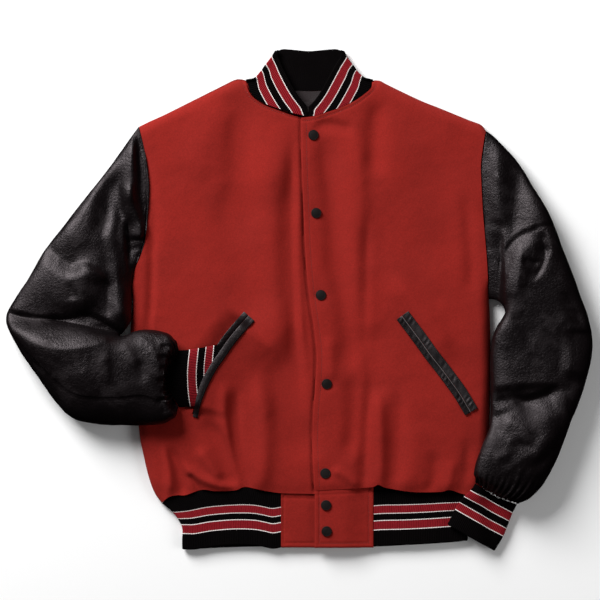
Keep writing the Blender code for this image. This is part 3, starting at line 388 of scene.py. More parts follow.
# The share of a sleeve's length over which its sections turn to the armhole, how far the seam round the
# armhole rolls and the seams along the sleeve sink, how deep the gathers at the cuff are, and at which
# share of their height the sections are widest
SLEEVE_CAP = 0.13
ARMHOLE_ROLL = 0.8
SEAM_SUNK = 0.9
GATHER_DEPTH = 2.4
WIDEST_AT = 0.32

# The cuffs' sections from the sleeve to the free end
CUFF_RIGHT = (
    # outer x, y, inner x, y, sag
    (-180.8, -160, -181, -75, 19),
    (-164, -159, -167, -74, 12),
    (-144, -158, -148, -71, 6.5),
    (-123, -157, -127, -67, 4.5),
    (-102, -155, -104, -63, 3.7),
)
CUFF_LEFT = (
    # outer x, y, inner x, y, sag
    (325.7, -306.2, 262.7, -274.2, 4),
    (319, -319, 256, -284, 2),
    (312, -337, 243, -297, 0),
    (305, -354, 233, -313, 0),
    (292, -376, 221, -336, 0),
)

# The waistband's fold at each side of the body, from its free edge up to the seam, and its free edges
BAND_SIDE_RIGHT = (
    (-177, -374), (-177, -358), (-176, -345), (-181, -332), (-191, -318), (-207, -305),
)
BAND_SIDE_LEFT = (
    (252, -361), (252, -350), (250, -340), (252, -328), (257, -315), (264, -300),
)
BAND_BOTTOM_RIGHT = (
    (-177, -374), (-158, -374), (-135, -370), (-98, -367), (-66, -368), (-40, -373), (-29, -371),
)
BAND_BOTTOM_LEFT = (
    (252, -361), (215, -364), (165, -367), (125, -368), (111, -369),
)
BAND_BOTTOM_BACK = (
    (-66, -370), (111, -370),
)

# The waistband's wool ends: their lower and upper edges, where their stitches stop, and their ends in x
TAB_BOTTOM = -371.0
TAB_TOP = -286.0
TAB_SEWN_TO = -292.0
TAB_RIGHT = (-28.5, 62.0)
TAB_LEFT = (22.0, 110.5)

# The collar's fold at each side of the neck, from the seam to the free edge, and its free edges
COLLAR_SIDE_RIGHT = (
    (-81.5, 331.5), (-73, 332.5), (-65, 337), (-58, 346), (-50, 357), (-43, 366), (-37, 376),
)
COLLAR_SIDE_LEFT = (
    (110, 331.5), (102, 332.5), (93, 338), (86, 345), (79, 355), (72, 364), (66, 376),
)
COLLAR_FREE_BACK = (
    (-37, 376), (-26, 378), (-10, 377), (14, 375), (38, 377), (54, 378), (66, 376),
)
COLLAR_FREE_RIGHT = (
    (-37, 376), (-31, 362), (-23, 344), (-14, 326), (-5, 311), (4, 299), (11.4, 290.5),
)
COLLAR_FREE_LEFT = (
    (66, 376), (60, 365), (51, 350), (41, 331), (31, 313), (21, 299), (12.6, 290.5),
)

# Where the stripes' lines run on to, past the free edges' lowest points
COLLAR_PAST_RIGHT = ((20.5, 280.0),)
COLLAR_PAST_LEFT = ((8.0, 280.0),)
COLLAR_V_TOP = 293.0

# Where the collar's ends meet, half the gap between them, and the width of its fold at the neck
COLLAR_CENTRE = 12.0
COLLAR_PART = 0.6
COLLAR_FOLD_WIDTH = 4.5

# The satin that shows in the neck
LINING_OUTLINE = (
    (-40, 317.5), (-22, 316.2), (15, 314.4), (50, 316.4), (68, 319), (58, 296), (40, 284), (12, 277),
    (-16, 284), (-32, 298),
)

# Folds of the back, which lies face down
FOLDS_BACK = (
    # x0, y0, x1, y1, bow, width, height, skew
    (-150, 200, -120, -60, 10, 9, 2.2, 0.0),
    (-40, 160, -60, -180, -8, 10, 1.8, 0.0),
    (60, 240, 90, -40, 8, 9, 2.0, 0.0),
    (180, 120, 150, -200, -12, 10, 2.2, 0.0),
)

# Rows of stitches, from the edge that each follows, and how far the thread's middle stands off the cloth,
# as a share of half its thickness
NECK_STITCH = 5.0
PLACKET_STITCH = 7.5
TAB_STITCH = 7.0
THREAD_PROUD = 0.35

# The snaps' caps
SNAP_COUNT = 7
SNAP_RADIUS = 7.8
SNAP_LIFT = 0.6
SNAP_PROFILE = (
    # share of the radius, height
    (0.0, 0.2), (0.90, 0.2), (0.98, 0.4), (1.0, 0.9), (0.99, 1.4), (0.95, 1.75), (0.89, 1.9), (0.83, 1.85),
    (0.79, 1.75), (0.74, 1.8), (0.68, 1.95), (0.56, 2.1), (0.40, 2.2), (0.22, 2.25), (0.08, 2.3), (0.0, 2.3),
)

# The studio, in metres and watts, with the lens and its sensor in millimetres
FLOOR = -0.0012
LENS = 200.0
SENSOR = 36.0
VIEW_CENTRE = 0.00075
MIDDLE_HEIGHT = 0.015
AMBIENT = 0.11
BACKDROP = 0.92
LIGHTS = (
    # name, place, size, power
    ("key", (-1.9, 2.3, 1.9), (1.8, 1.8), 230.0),
    ("fill", (2.6, -0.8, 1.6), (2.0, 1.2), 28.0),
)

# Knitted bands from the free edge to the seam, the width of the fine lines beside the stripes, and how far
# their edges blur, in metres
CUFF_BANDS = (
    # width, is it a stripe
    (25.9, False), (12.4, True), (11.8, False), (13.4, True), (14.0, False),
)
WAISTBAND_BANDS = (
    # width, is it a stripe
    (24.2, False), (13.7, True), (10.5, False), (12.4, True), (21.8, False),
)
COLLAR_BANDS = (
    # width, is it a stripe
    (9.0, False), (13.5, True), (11.5, False), (12.5, True), (20.0, False),
)
LINE = 1.1
LINE_BLUR = 0.00015

# The pale grey painted on the welts as light: a painted highlight line along a welt's fold, and a faint
# painted sheen over a whole strip
PAINTED_HIGHLIGHT_GREY = (0.12, 0.11, 0.11, 1.0)


def ease(value):
    """0 at 0 and below, 1 at 1 and above, with a soft start and end."""
    t = np.clip(value, 0.0, 1.0)
    return t * t * (3.0 - 2.0 * t)


def bell(value, middle, width):
    """1 at the middle, falling away to both sides over width."""
    return np.exp(-(((value - middle) / width) ** 2))


def along(rows, places):
    """The rows read at places between 0, the first one, and 1, the last, on a smooth curve."""
    table = np.array(rows, float)
    shape = table.shape[1:]
    table = table.reshape(len(table), -1)
    padded = np.vstack([2 * table[0] - table[1], table, 2 * table[-1] - table[-2]])
    at = np.clip(np.asarray(places, float), 0.0, 1.0) * (len(table) - 1)
    first = np.minimum(at.astype(int), len(table) - 2)
    t = (at - first)[..., None]
    a, b, c, d = (padded[first + k] for k in range(4))
    read = 0.5 * (2 * b + (c - a) * t + (2 * a - 5 * b + 4 * c - d) * t**2 + (3 * b - a - 3 * c + d) * t**3)
    return read.reshape(np.shape(places) + shape)


def travelled(points):
    """The distance along a polyline to each of its points."""
    steps = np.linalg.norm(np.diff(points, axis=0), axis=1)
    return np.concatenate([[0.0], np.cumsum(steps)])


def by_length(points, places):
    """Points of a polyline at places from 0 to 1 of its length."""
    reached = travelled(points)
    wanted = np.asarray(places, float) * reached[-1]
    return np.stack([np.interp(wanted, reached, column) for column in points.T], axis=-1)


def edge(rows, places):
    """Points of a smooth curve through the rows, at places from 0 to 1 of its length."""
    return by_length(along(rows, np.linspace(0, 1, CURVE_POINTS * len(rows))), places)


def sampled(rows, count):
    """Evenly spaced points of a smooth curve through the rows."""
    return edge(rows, np.linspace(0, 1, count))


def directions(curve):
    """The unit direction of a curve of plan points at each of them."""
    run = np.gradient(curve, axis=0)
    return run / np.linalg.norm(run, axis=1)[:, None]


def leftward(run):
    """Plan directions turned a quarter turn to the left."""
    return np.column_stack([-run[:, 1], run[:, 0]])


def joined(tables, corners, places):
    """Edges one after the other, which meet at the places called corners."""
    ends = (0.0, *corners, 1.0)
    made = np.zeros((len(places), 2))
    for table, start, end in zip(tables, ends, ends[1:]):
        held = (places >= start) & (places <= end)
        made[held] = edge(table, (places[held] - start) / (end - start))
    return made


def between(bottom, top, left, right, across, up):
    """A grid of plan points between four edges that meet at its corners."""
    u = across[None, :, None]
    v = up[:, None, None]
    ruled = (1 - v) * bottom[None] + v * top[None] + (1 - u) * left[:, None] + u * right[:, None]
    low = (1 - u) * bottom[0] + u * bottom[-1]
    high = (1 - u) * top[0] + u * top[-1]
    return ruled - (1 - v) * low - v * high


def zones(*parts):
    """Places from 0 to 1. Each part says where it starts and how many steps it has."""
    starts = [start for start, _ in parts] + [1.0]
    steps = [np.linspace(a, b, count + 1)[:-1] for (a, count), b in zip(parts, starts[1:])]
    return np.concatenate([*steps, [1.0]])


def with_corners(places, *corners):
    """The places, with the nearest one moved to each corner."""
    moved = places.copy()
    for corner in corners:
        moved[np.argmin(np.abs(places - corner))] = corner
    return moved


def outward_of(table):
    """1 for a table of the left side, which lies at +X, and -1 for one of the right side."""
    return 1.0 if table[0][0] > 0 else -1.0


def millimetres(name):
    """One of the sizes that a user can change, in millimetres."""
    return getattr(bpy.context.scene.jacket_sizes, name) / MM


def by_line(x, y, x0, y0, x1, y1, bow):
    """Where plan points lie by a bowed line: place along it from 0 to 1, and distance to its left."""
    length = math.hypot(x1 - x0, y1 - y0)
    ux, uy = (x1 - x0) / length, (y1 - y0) / length
    run = ((x - x0) * ux + (y - y0) * uy) / length
    return run, (y - y0) * ux - (x - x0) * uy - bow * 4 * run * (1 - run)


def tapered(run, past, soft):
    """1 along a line, fading over a soft length to 0 at a distance past each end."""
    return ease((run + past) / soft) * ease((1 + past - run) / soft)


def folds(table, x, y):
    """The height that the folds of a table add at plan points."""
    total = np.zeros_like(x)
    for *line, width, height, skew in table:
        run, aside = by_line(x, y, *line)
        reach = width * (1 - skew * np.sign(aside))
        total += height * bell(aside, 0.0, reach) * tapered(run, past=0.18, soft=0.36)
    return total


def pleats(table, x, y):
    """The height that the creases of a table add at plan points. Their lines are a little rounded."""
    total = np.zeros_like(x)
    for *line, left, right, height in table:
        run, aside = by_line(x, y, *line)
        blunt = min(0.24 * min(left, right), 2.4)
        side = 1.0 - (np.hypot(aside, blunt) - blunt) / np.where(aside > 0, left, right)
        total += height * 0.5 * (side + np.sqrt(side**2 + 0.05)) * tapered(run, past=0.2, soft=0.45)
    return total


def quarter_round(distance, radius):
    """The rise of a rounded edge, from 0 at the edge to 1 at the radius and beyond."""
    t = np.clip(distance / radius, 0.0, 1.0)
    return np.sqrt(1.0 - (1.0 - t) ** 2)


def beside(table, x, y):
    """Where plan points lie by a curve: place along it from 0 to 1, and distance to the left of its run."""
    curve = sampled(table, 60)
    steps = np.diff(curve, axis=0)
    reached = travelled(curve)
    best = np.full(x.shape, np.inf)
    place = np.zeros_like(x)
    aside = np.zeros_like(x)
    for (cx, cy), (sx, sy), length, start in zip(curve, steps, np.linalg.norm(steps, axis=1), reached):
        along_step = ((x - cx) * sx + (y - cy) * sy) / length**2
        held = np.clip(along_step, 0.0, 1.0)
        away = np.hypot(x - cx - held * sx, y - cy - held * sy)
        side = (x - cx) * sy - (y - cy) * sx
        nearer = away < best
        best = np.where(nearer, away, best)
        place = np.where(nearer, (start + held * length) / reached[-1], place)
        aside = np.where(nearer, -np.sign(side) * away, aside)
    return place, aside


def noisy(x, y, z, spacing, shift, value):
    """A noise function's value at each point, moved by shift, with features spacing apart."""
    shift = Vector(shift)
    flat = zip(np.ravel(x) / spacing, np.ravel(y) / spacing, np.ravel(z) / spacing)
    return np.array([value(Vector(point) + shift) for point in flat]).reshape(np.shape(x))


def rough(x, y, z, spacing, seed, octaves=3):
    """Smooth unevenness from about -1 to 1."""
    shift = (seed * 17.3, seed * 5.1, seed * 9.7)
    return noisy(x, y, z, spacing, shift, lambda point: noise.fractal(point, 0.9, 2.1, octaves))


def creases(x, y, z, spacing, seed):
    """Sharp-edged wrinkles from 0 to about 1."""
    shift = (seed * 13.1, seed * 7.7, seed * 3.3)
    ridges = noisy(
        x, y, z, spacing, shift,
        lambda point: noise.ridged_multi_fractal(point, 1.0, 2.0, 3, 0.9, 1.6),
    )
    return np.clip(ridges / 2.0, 0, 1.2)


def side_x(table, y):
    """Where a side of the body lies in x at values of y."""
    curve = sampled(table, 160)
    return np.interp(y, curve[:, 1], curve[:, 0])


def shoulder_distance(table, x, y):
    """How far plan points lie below the fold of a shoulder, or from its end at the neck."""
    curve = sampled(table, 80)
    neck_x, neck_y = table[-1]
    order = np.argsort(curve[:, 0])
    below = (np.interp(x, curve[order, 0], curve[order, 1]) - y) * SHOULDER_SLOPE
    past = (x - neck_x) * np.sign(neck_x) * -1.0
    return np.where(past > 0, np.hypot(past, np.maximum(neck_y - y, 0.0)), below)


def lips(x, y):
    """What the cuff in the right pocket adds to the front: up past the mouth, down before it."""
    place, aside = beside(SLIT_RIGHT, x, y)
    taper = ease(np.minimum(place, 1 - place) / LIP_TAPER)
    past = LIP_RAISED * (1 - ease(aside / LIP_REACH_OUT))
    before = -LIP_LOWERED * (1 - ease(-aside / LIP_REACH_IN))
    return np.where(aside > 0, past, before) * taper


def front_height(x, y, side_table, shoulder_table, underarm, chest):
    """Height of a front's outer side at plan points, before its sewing."""
    inside = (side_x(side_table, y) - x) * outward_of(side_table)
    open_side = ease((y - underarm + OPEN_BELOW) / OPEN_OVER)
    side = quarter_round(inside, EDGE_ROUND) * (1 - open_side) + open_side
    top = quarter_round(shoulder_distance(shoulder_table, x, y), EDGE_ROUND)
    hem = 1.0 - HEM_DRAWN_IN * bell(y, HEM_LINE, HEM_REACH)
    depth = bpy.context.scene.jacket_sizes.fold_depth
    creased = depth * folds(FOLDS_FRONT, x, y)
    creased += depth * 0.8 * rough(x, y, np.zeros_like(x), spacing=60.0, seed=1)
    room = chest - LEAST_FRONT
    creased = np.where(creased < 0, room * np.tanh(creased / room), creased)
    creased = creased * ease(inside / EDGE_ROUND + open_side)
    return FOOT + ((chest - FOOT) * hem + creased) * side * top


def right_base(x, y):
    """The right front without its pocket, pressed down a little by the forearm."""
    from_side = ease((FOREARM_SIDE - x) / 30.0)
    pressed = from_side * ease((FOREARM_TOP - y) / 40.0) * ease((y - FOREARM_LOW) / 40.0)
    chest = CHEST - PRESSED * pressed
    return front_height(x, y, SIDE_RIGHT, SHOULDER_RIGHT, UNDERARM_RIGHT, chest)


def dent(distance, middle, width, depth):
    """The groove that a row of stitches pulls into the cloth."""
    return -depth * bell(distance, middle, width)


def right_height(x, y):
    """The right front with its pocket, the neck's stitches and the trough under the left front's edge."""
    neck = -beside(NECK_RIGHT, x, y)[1]
    lapped = beside(FRONT_EDGE, x, y)[1]
    sewn = dent(neck, NECK_STITCH, width=1.6, depth=0.8) + dent(lapped, 1.0, width=2.0, depth=2.4)
    return right_base(x, y) + lips(x, y) + sewn


def left_height(x, y):
    """The left front with the stitches of its edge and its neck, and a hollow round each snap."""
    height = front_height(x, y, SIDE_LEFT, SHOULDER_LEFT, UNDERARM_LEFT, CHEST + LAP)
    inside = -beside(FRONT_EDGE, x, y)[1]
    neck = beside(NECK_LEFT, x, y)[1]
    height += dent(inside, PLACKET_STITCH, width=1.6, depth=0.4)
    height += dent(neck, NECK_STITCH, width=1.6, depth=0.8)
    for px, py in snap_places():
        height += dent(np.hypot(x - px, y - py), 0.0, width=12.0, depth=1.3)
    return height


def snap_places():
    """Plan points of the snaps, read from the frame."""
    boxes = [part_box(f"snap_{index}") for index in range(1, SNAP_COUNT + 1)]
    return [((low.x + high.x) / 2 / MM, (low.y + high.y) / 2 / MM) for low, high in boxes]


def finish_piece(name, solid, looks, nodes):
    """The object of a mesh, riding on the frame in the place of its nodes."""
    mesh = bpy.data.meshes.new(name)
    solid.to_mesh(mesh)
    solid.free()
    for look in looks:
        mesh.materials.append(look)
    mesh.shade_smooth()
    mesh.set_sharp_from_angle(angle=SHARP_ANGLE)
    made = bpy.data.objects.new(name, mesh)
    bpy.context.scene.collection.objects.link(made)
    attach(made, BODY)
    if nodes:
        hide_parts(*nodes)
    return made


def grid_sheet(points):
    """A sheet of a grid of points, [row, column, xyz], and each vertex's place in the flattened grid."""
    rows, columns = points.shape[:2]
    sheet = bmesh.new()
    bmesh.ops.create_grid(sheet, x_segments=columns - 1, y_segments=rows - 1, size=1.0)
    order = []
    for vertex in sheet.verts:
        column = round((vertex.co.x + 1) / 2 * (columns - 1))
        row = round((vertex.co.y + 1) / 2 * (rows - 1))
        vertex.co = Vector(points[row, column]) * MM
        order.append(row * columns + column)
    return sheet, order


def tube_sheet(rings):
    """A sheet of closed rings of points, [ring, place round it, xyz], open at both ends."""
    sheet = bmesh.new()
    loops = [[sheet.verts.new(Vector(point) * MM) for point in ring] for ring in rings]
    for near, far in zip(loops, loops[1:]):
        for index in range(len(near)):
            after = (index + 1) % len(near)
            sheet.faces.new((near[index], near[after], far[after], far[index]))
    return sheet


def cloth(name, sheet, inner, flat, looks, nodes):
    """A cloth wall between a sheet and the inner points of its vertices.

    Flat gives each vertex's place on the uncut cloth, for patterns that follow it. A second look is for
    the inner side. Both layers of the wall and its rim share the flat places.
    """
    place = sheet.verts.layers.int.new("place")
    for index, vertex in enumerate(sheet.verts):
        vertex[place] = index
    made = bmesh.ops.extrude_face_region(sheet, geom=list(sheet.faces))
    for item in made["geom"]:
        if isinstance(item, bmesh.types.BMVert):
            item.co = Vector(inner[item[place]]) * MM
        elif isinstance(item, bmesh.types.BMFace) and len(looks) > 1:
            item.material_index = 1
    bmesh.ops.recalc_face_normals(sheet, faces=sheet.faces)
    if flat is not None:
        cloth_map = sheet.loops.layers.uv.new("cloth")
        wanted = np.asarray(flat) * MM
        for face in sheet.faces:
            for corner in face.loops:
                corner[cloth_map].uv = wanted[corner.vert[place]]
    return finish_piece(name, sheet, looks, nodes)


def past_and_next(rings):
    """The step across each point of closed rings, from the point before it to the one after it."""
    return np.roll(rings, -1, axis=1) - np.roll(rings, 1, axis=1)


def ring_steps(rings):
    """The distance of each point of closed rings from the one before it."""
    return np.linalg.norm(rings - np.roll(rings, 1, axis=1), axis=2)


def normals(grid, closed=False):
    """Directions square to a grid of points, [row, column, xyz]. They face up where x and y grow."""
    along_row = past_and_next(grid) if closed else np.gradient(grid, axis=1)
    square = np.cross(along_row, np.gradient(grid, axis=0))
    return square / np.linalg.norm(square, axis=2)[..., None]


def lengths(grid):
    """Distances along the rows and up the columns of a grid of points, each from its first point."""
    across = np.linalg.norm(np.diff(grid, axis=1), axis=2)
    up = np.linalg.norm(np.diff(grid, axis=0), axis=2)
    first = np.zeros((grid.shape[0], 1))
    under = np.zeros((1, grid.shape[1]))
    return (
        np.hstack([first, np.cumsum(across, axis=1)]),
        np.vstack([under, np.cumsum(up, axis=0)]),
    )


def rounded(outer, inner, free, thickness):
    """Both sides of a wall drawn together where it ends, so that its free edge is round."""
    share = np.maximum(quarter_round(free, thickness / 2), LEAST_EDGE)[..., None]
    middle = (outer + inner) / 2
    return middle + (outer - middle) * share, middle + (inner - middle) * share


def wall(name, outer, inner, looks, nodes):
    """A cloth wall between two grids of points."""
    sheet, order = grid_sheet(outer)
    across, up = lengths(outer)
    flat = np.dstack([across, up]).reshape(-1, 2)[order]
    return cloth(name, sheet, inner.reshape(-1, 3)[order], flat, looks, nodes)


def panel(name, outer, thickness, lowest, free, looks, nodes):
    """A cloth wall below a grid of points, no part of it lower than what the piece lies on."""
    inner = outer - thickness * normals(outer)
    inner[..., 2] = np.maximum(inner[..., 2], lowest)
    if free is not None:
        outer, inner = rounded(outer, inner, free, thickness)
    return wall(name, outer, inner, looks, nodes)


def underlap_edge():
    """The right front's edge under the left front, whose lowest point lies a little lower."""
    return tuple((x + UNDERLAP, y + (-6 if index == 0 else 0)) for index, (x, y) in enumerate(FRONT_EDGE))


def cut_slit(grid):
    """Opens the right pocket's mouth in the right front."""
    curve = sampled(SLIT_RIGHT, 13) * MM
    for (ax, ay), (bx, by) in zip(curve, curve[1:]):
        run = Vector((bx - ax, by - ay, 0)).normalized()
        aside = Vector((-run.y, run.x, 0))
        length = math.hypot(bx - ax, by - ay)
        for shift in (-0.5, 0.5):
            start = Vector((ax, ay, 0)) + aside * shift * SLIT_GAP * MM
            parts = set()
            for face in grid.faces:
                away = face.verts[0].co - start
                if -3 * MM < away.dot(run) < length + 3 * MM and abs(away.dot(aside)) < 5 * MM:
                    parts.add(face)
                    parts.update(face.edges, face.verts)
            bmesh.ops.bisect_plane(
                grid, geom=list(parts), dist=0.1 * MM, plane_co=start, plane_no=aside
            )
    middles = np.array([face.calc_center_median()[:2] for face in grid.faces]) / MM
    place, aside = beside(SLIT_RIGHT, middles[:, 0], middles[:, 1])
    cut = (np.abs(aside) < SLIT_GAP / 2) & (place > 0.001) & (place < 0.999)
    faces = [face for face, is_cut in zip(list(grid.faces), cut) if is_cut]
    bmesh.ops.delete(grid, geom=faces, context="FACES")


def make_front_right(looks):
    """The right front, with its pocket's mouth, to where it ends under the left one."""
    neck_corner = 0.55
    across = with_corners(zones(*RIGHT_COLUMNS), neck_corner)
    up = zones(*FRONT_ROWS)
    plan = between(
        edge(HEM_RIGHT, across),
        joined((SHOULDER_RIGHT, NECK_RIGHT), (neck_corner,), across),
        edge(SIDE_RIGHT, up),
        edge(underlap_edge(), up),
        across,
        up,
    )
    sheet, _ = grid_sheet(level(plan, 0.0))
    cut_slit(sheet)
    points = np.array([vertex.co[:2] for vertex in sheet.verts]) / MM
    for vertex, z in zip(sheet.verts, right_height(points[:, 0], points[:, 1])):
        vertex.co.z = z * MM
    sheet.normal_update()
    under = [(vertex.co - vertex.normal * WOOL * MM) / MM for vertex in sheet.verts]
    inner = [(point.x, point.y, max(point.z, WOOL + SEAM)) for point in under]
    return cloth("front_right_cloth", sheet, inner, points, looks, ["front_right"])


def make_front_left(looks):
    """The left front, which lies on the right one as far as its free edge."""
    neck_corner = 0.40
    across = with_corners(zones(*LEFT_COLUMNS), neck_corner)
    up = zones(*FRONT_ROWS)
    plan = between(
        edge(HEM_LEFT[::-1], across),
        joined((NECK_LEFT[::-1], SHOULDER_LEFT[::-1]), (neck_corner,), across),
        edge(FRONT_EDGE, up),
        edge(SIDE_LEFT, up),
        across,
        up,
    )
    x, y = plan[..., 0], plan[..., 1]
    outer = np.dstack([plan, left_height(x, y)])
    free = -beside(FRONT_EDGE, x, y)[1]
    return panel(
        "front_left_cloth", outer, WOOL, WOOL + SEAM, free, looks, ["front_left"]
    )


def make_back(looks):
    """The back, face down, with a few folds that don't reach its sides."""
    neck_corners = (0.30, 0.66)
    across = with_corners(np.linspace(0, 1, BACK_COLUMNS), *neck_corners)
    up = np.linspace(0, 1, BACK_ROWS)
    plan = between(
        edge(BACK_HEM, across),
        joined((SHOULDER_RIGHT, NECK_BACK, SHOULDER_LEFT[::-1]), neck_corners, across),
        edge(SIDE_RIGHT, up),
        edge(SIDE_LEFT, up),
        across,
        up,
    )
    x, y = plan[..., 0], plan[..., 1]
    inside = np.minimum(x - side_x(SIDE_RIGHT, y), side_x(SIDE_LEFT, y) - x)
    lifted = np.maximum(folds(FOLDS_BACK, x, y), 0) * ease(inside / 30) + 0.02
    under = np.dstack([plan, lifted])
    over = under + np.array([0, 0, WOOL - 0.1])
    return wall("back_cloth", under, over, looks, ["back_panel"])


def section(row, low_corners=3.4, points=240):
    """Shares across and heights round a closed section, from its outer edge over the top, and the angles."""
    outer_bottom, inner_bottom, top, _, boxy = row[5:]
    turn = np.linspace(0, 2 * np.pi, points + 1)
    cos, sin = np.cos(turn), np.sin(turn)
    share = 0.5 - 0.5 * np.sign(cos) * np.abs(cos) ** (2 / boxy)
    bottom = outer_bottom + (inner_bottom - outer_bottom) * ease(2 * share)
    middle = bottom + WIDEST_AT * (top - bottom)
    over = middle + (top - middle) * np.abs(sin) ** (2 / boxy)
    under = middle - (middle - bottom) * np.abs(sin) ** (2 / low_corners)
    return share, np.where(sin >= 0, over, under), turn


def across_section(row, share):
    """Plan points of a section, from its outer point to its inner one."""
    outer, inner = np.array(row[0:2]), np.array(row[2:4])
    run = inner - outer
    aside = np.array([run[1], -run[0]]) / np.linalg.norm(run)
    if outer[0] > inner[0]:
        aside = -aside
    return outer + share[:, None] * run + (row[4] * np.sin(np.pi * share) ** 1.2)[:, None] * aside


def armhole(side_table, shoulder, underarm, share):
    """Plan points just outside an armhole, from the shoulder to the underarm."""
    y = shoulder + (underarm - shoulder) * share
    return np.column_stack([side_x(side_table, y) + outward_of(side_table) * SEAM, y])


def sleeve_rings(rows, side_table, fold_table):
    """Rings of outer points from the armhole to the cuff, each from the outer seam over the top."""
    rings = []
    for place in zones(*SLEEVE_RINGS):
        row = along(rows, place)
        share, height, turn = section(row)
        sewn = 1 - ease(place / SLEEVE_CAP)
        hole = armhole(side_table, rows[0][1], rows[0][3], share)
        plan = across_section(row, share) * (1 - sewn) + hole * sewn
        ring = np.column_stack([plan, height])
        reached = travelled(ring)
        reached /= reached[-1]
        outer, inner = np.interp([math.radians(row[8]), math.pi], turn, reached)
        places = np.concatenate([
            np.linspace(outer, inner, SLEEVE_OVER, endpoint=False),
            np.linspace(inner, outer + 1, SLEEVE_UNDER, endpoint=False),
        ]) % 1.0
        line = np.stack([np.interp(places, reached, column) for column in ring.T], axis=-1)
        bottom, top = min(row[5:7]), row[7]
        lifted = ease((line[:, 2] - bottom) / (top - bottom) * 1.6 - 0.45)
        line[:, 2] += pleats(fold_table, line[:, 0], line[:, 1]) * lifted
        rings.append(line)
    return np.array(rings)


def wrinkled(outer, run, off_floor, seed):
    """How far wrinkles push a sleeve's leather out, at rings of outer points."""
    ends = ease(run / 0.02) * ease((1 - run) / 0.03)
    x, y, z = (outer[..., k] for k in range(3))
    wide = rough(x, y, z, spacing=42.0, seed=seed) * 0.7
    sharp = creases(x, y, z, spacing=30.0, seed=seed + 3) - 0.5
    fine = creases(x, y, z, spacing=11.0, seed=seed + 7) - 0.5
    patch = ease(rough(x, y, z, spacing=60.0, seed=seed + 11, octaves=1) * 1.8 + 0.3)
    size = millimetres("wrinkle_depth")
    return (wide + size * (0.42 * sharp + 0.15 * fine) * (0.15 + 0.85 * patch)) * off_floor * ends


def gathered(run, around, seed):
    """The leather's gathers above the cuff, from -1 to 1."""
    turn = np.arange(around) * 2 * np.pi / around
    uneven = 0.65 + 0.35 * np.sin(3 * turn + seed) * np.cos(5 * turn)
    return ease((run - 0.83) / 0.12) * np.cos(17 * turn + 1.2 * np.sin(2 * turn) + 5 * run) * uneven


def make_sleeve(name, rows, side_table, fold_table, looks, seed):
    """A leather sleeve of two halves, with a seam sunk between them along its outer and inner edge."""
    outer = sleeve_rings(rows, side_table, fold_table)
    outward = normals(outer, closed=True) * outward_of(rows)
    count, around = outer.shape[:2]
    run = np.linspace(0, 1, count)[:, None] * np.ones(around)
    off_floor = ease((outer[..., 2] - 2.0) / 12.0)
    pushed = wrinkled(outer, run, off_floor, seed)
    rolled = ARMHOLE_ROLL * bell(run, 0.012, 0.006) - ARMHOLE_ROLL * bell(run, 0.03, 0.007)
    pushed += rolled * off_floor
    for seam_at in (0, SLEEVE_OVER):
        gap = np.abs((np.arange(around) - seam_at + around / 2) % around - around / 2)
        pushed -= SEAM_SUNK * bell(gap, 0.0, 1.0) * off_floor
    pushed += gathered(run, around, seed) * GATHER_DEPTH * off_floor
    outer = outer + outward * pushed[..., None]
    outer[..., 2] = np.maximum(outer[..., 2], 0.0)
    span = outer[:, SLEEVE_OVER] - outer[:, 0]
    span[:, 2] = 0.0
    square = np.cross(past_and_next(outer), np.cross((0.0, 0.0, 1.0), span)[:, None])
    square /= np.linalg.norm(square, axis=2)[..., None]
    inner = (outer - LEATHER * square).reshape(-1, 3)
    around_up = np.dstack([np.cumsum(ring_steps(outer), axis=1), lengths(outer)[1]]).reshape(-1, 2)
    nodes = [f"{name}_front", f"{name}_back"]
    return cloth(f"{name}_leather", tube_sheet(outer), inner, around_up, looks, nodes)


def rib_profile(distance):
    """Heights of the knit's ribs at distances along a strip, from 0 in a furrow to 1 on a rib."""
    return np.abs(np.sin(np.pi * distance / millimetres("rib_pitch"))) ** 0.8


def ribbed(outer, outward, distance, free):
    """The outer points with the ribs raised on them, lower at the free edge."""
    raised = millimetres("rib_height") * (rib_profile(distance) - 0.6) * ease(free / 2.0 + 0.3)
    return outer + outward * raised[..., None]


def make_cuff(name, rows, below, looks):
    """A tube of doubled rib knit. Below gives the height at plan points that it lies on."""
    middle, corners = CUFF_HEIGHT / 2, 2.6
    outer, inner = [], []
    for row in along(rows, zones(*CUFF_RINGS)):
        full = (*row, 0.0, 0.0, CUFF_HEIGHT, 0.0, corners)
        share, height, _ = section(full, corners)
        width = math.dist(row[0:2], row[2:4])
        for rings, narrower, lower in (
            (outer, 1.0, 1.0),
            (inner, 1.0 - 2 * RIB / width, 1.0 - 2 * RIB / CUFF_HEIGHT),
        ):
            plan = across_section(full, 0.5 + (share - 0.5) * narrower)
            rise = middle + (height - middle) * lower + below(plan[:, 0], plan[:, 1])
            ring = np.column_stack([plan, rise])
            rings.append(by_length(ring, np.linspace(0, 1, CUFF_AROUND + 1))[:-1])
    outer, inner = np.array(outer), np.array(inner)
    outward = normals(outer, closed=True) * outward_of(rows)
    up = lengths(outer)[1]
    width = ring_steps(outer).mean(axis=0).cumsum()
    pitch = millimetres("rib_pitch")
    width *= round(width[-1] / pitch) * pitch / width[-1]
    distance = np.broadcast_to(width, up.shape)
    free = up[-1:] - up
    outer = ribbed(outer, outward, distance, free)
    outer, inner = rounded(outer, inner, free, RIB)
    outer[..., 2] = np.maximum(outer[..., 2], 0.0)
    flat = np.dstack([distance, free]).reshape(-1, 2)
    return cloth(
        f"{name}_knit", tube_sheet(outer), inner.reshape(-1, 3), flat, looks, [name]
    )


def below_cuff_right(x, y):
    """On the front as far as the pocket's mouth, then down into the pocket."""
    aside = beside(SLIT_RIGHT, x, y)[1]
    lip = right_base(x, y) - LIP_LOWERED * (1 - ease(-aside / LIP_REACH_IN))
    inside = ease(aside / 30.0)
    return (lip + CUFF_CLEARANCE) * (1 - inside) + IN_POCKET * inside


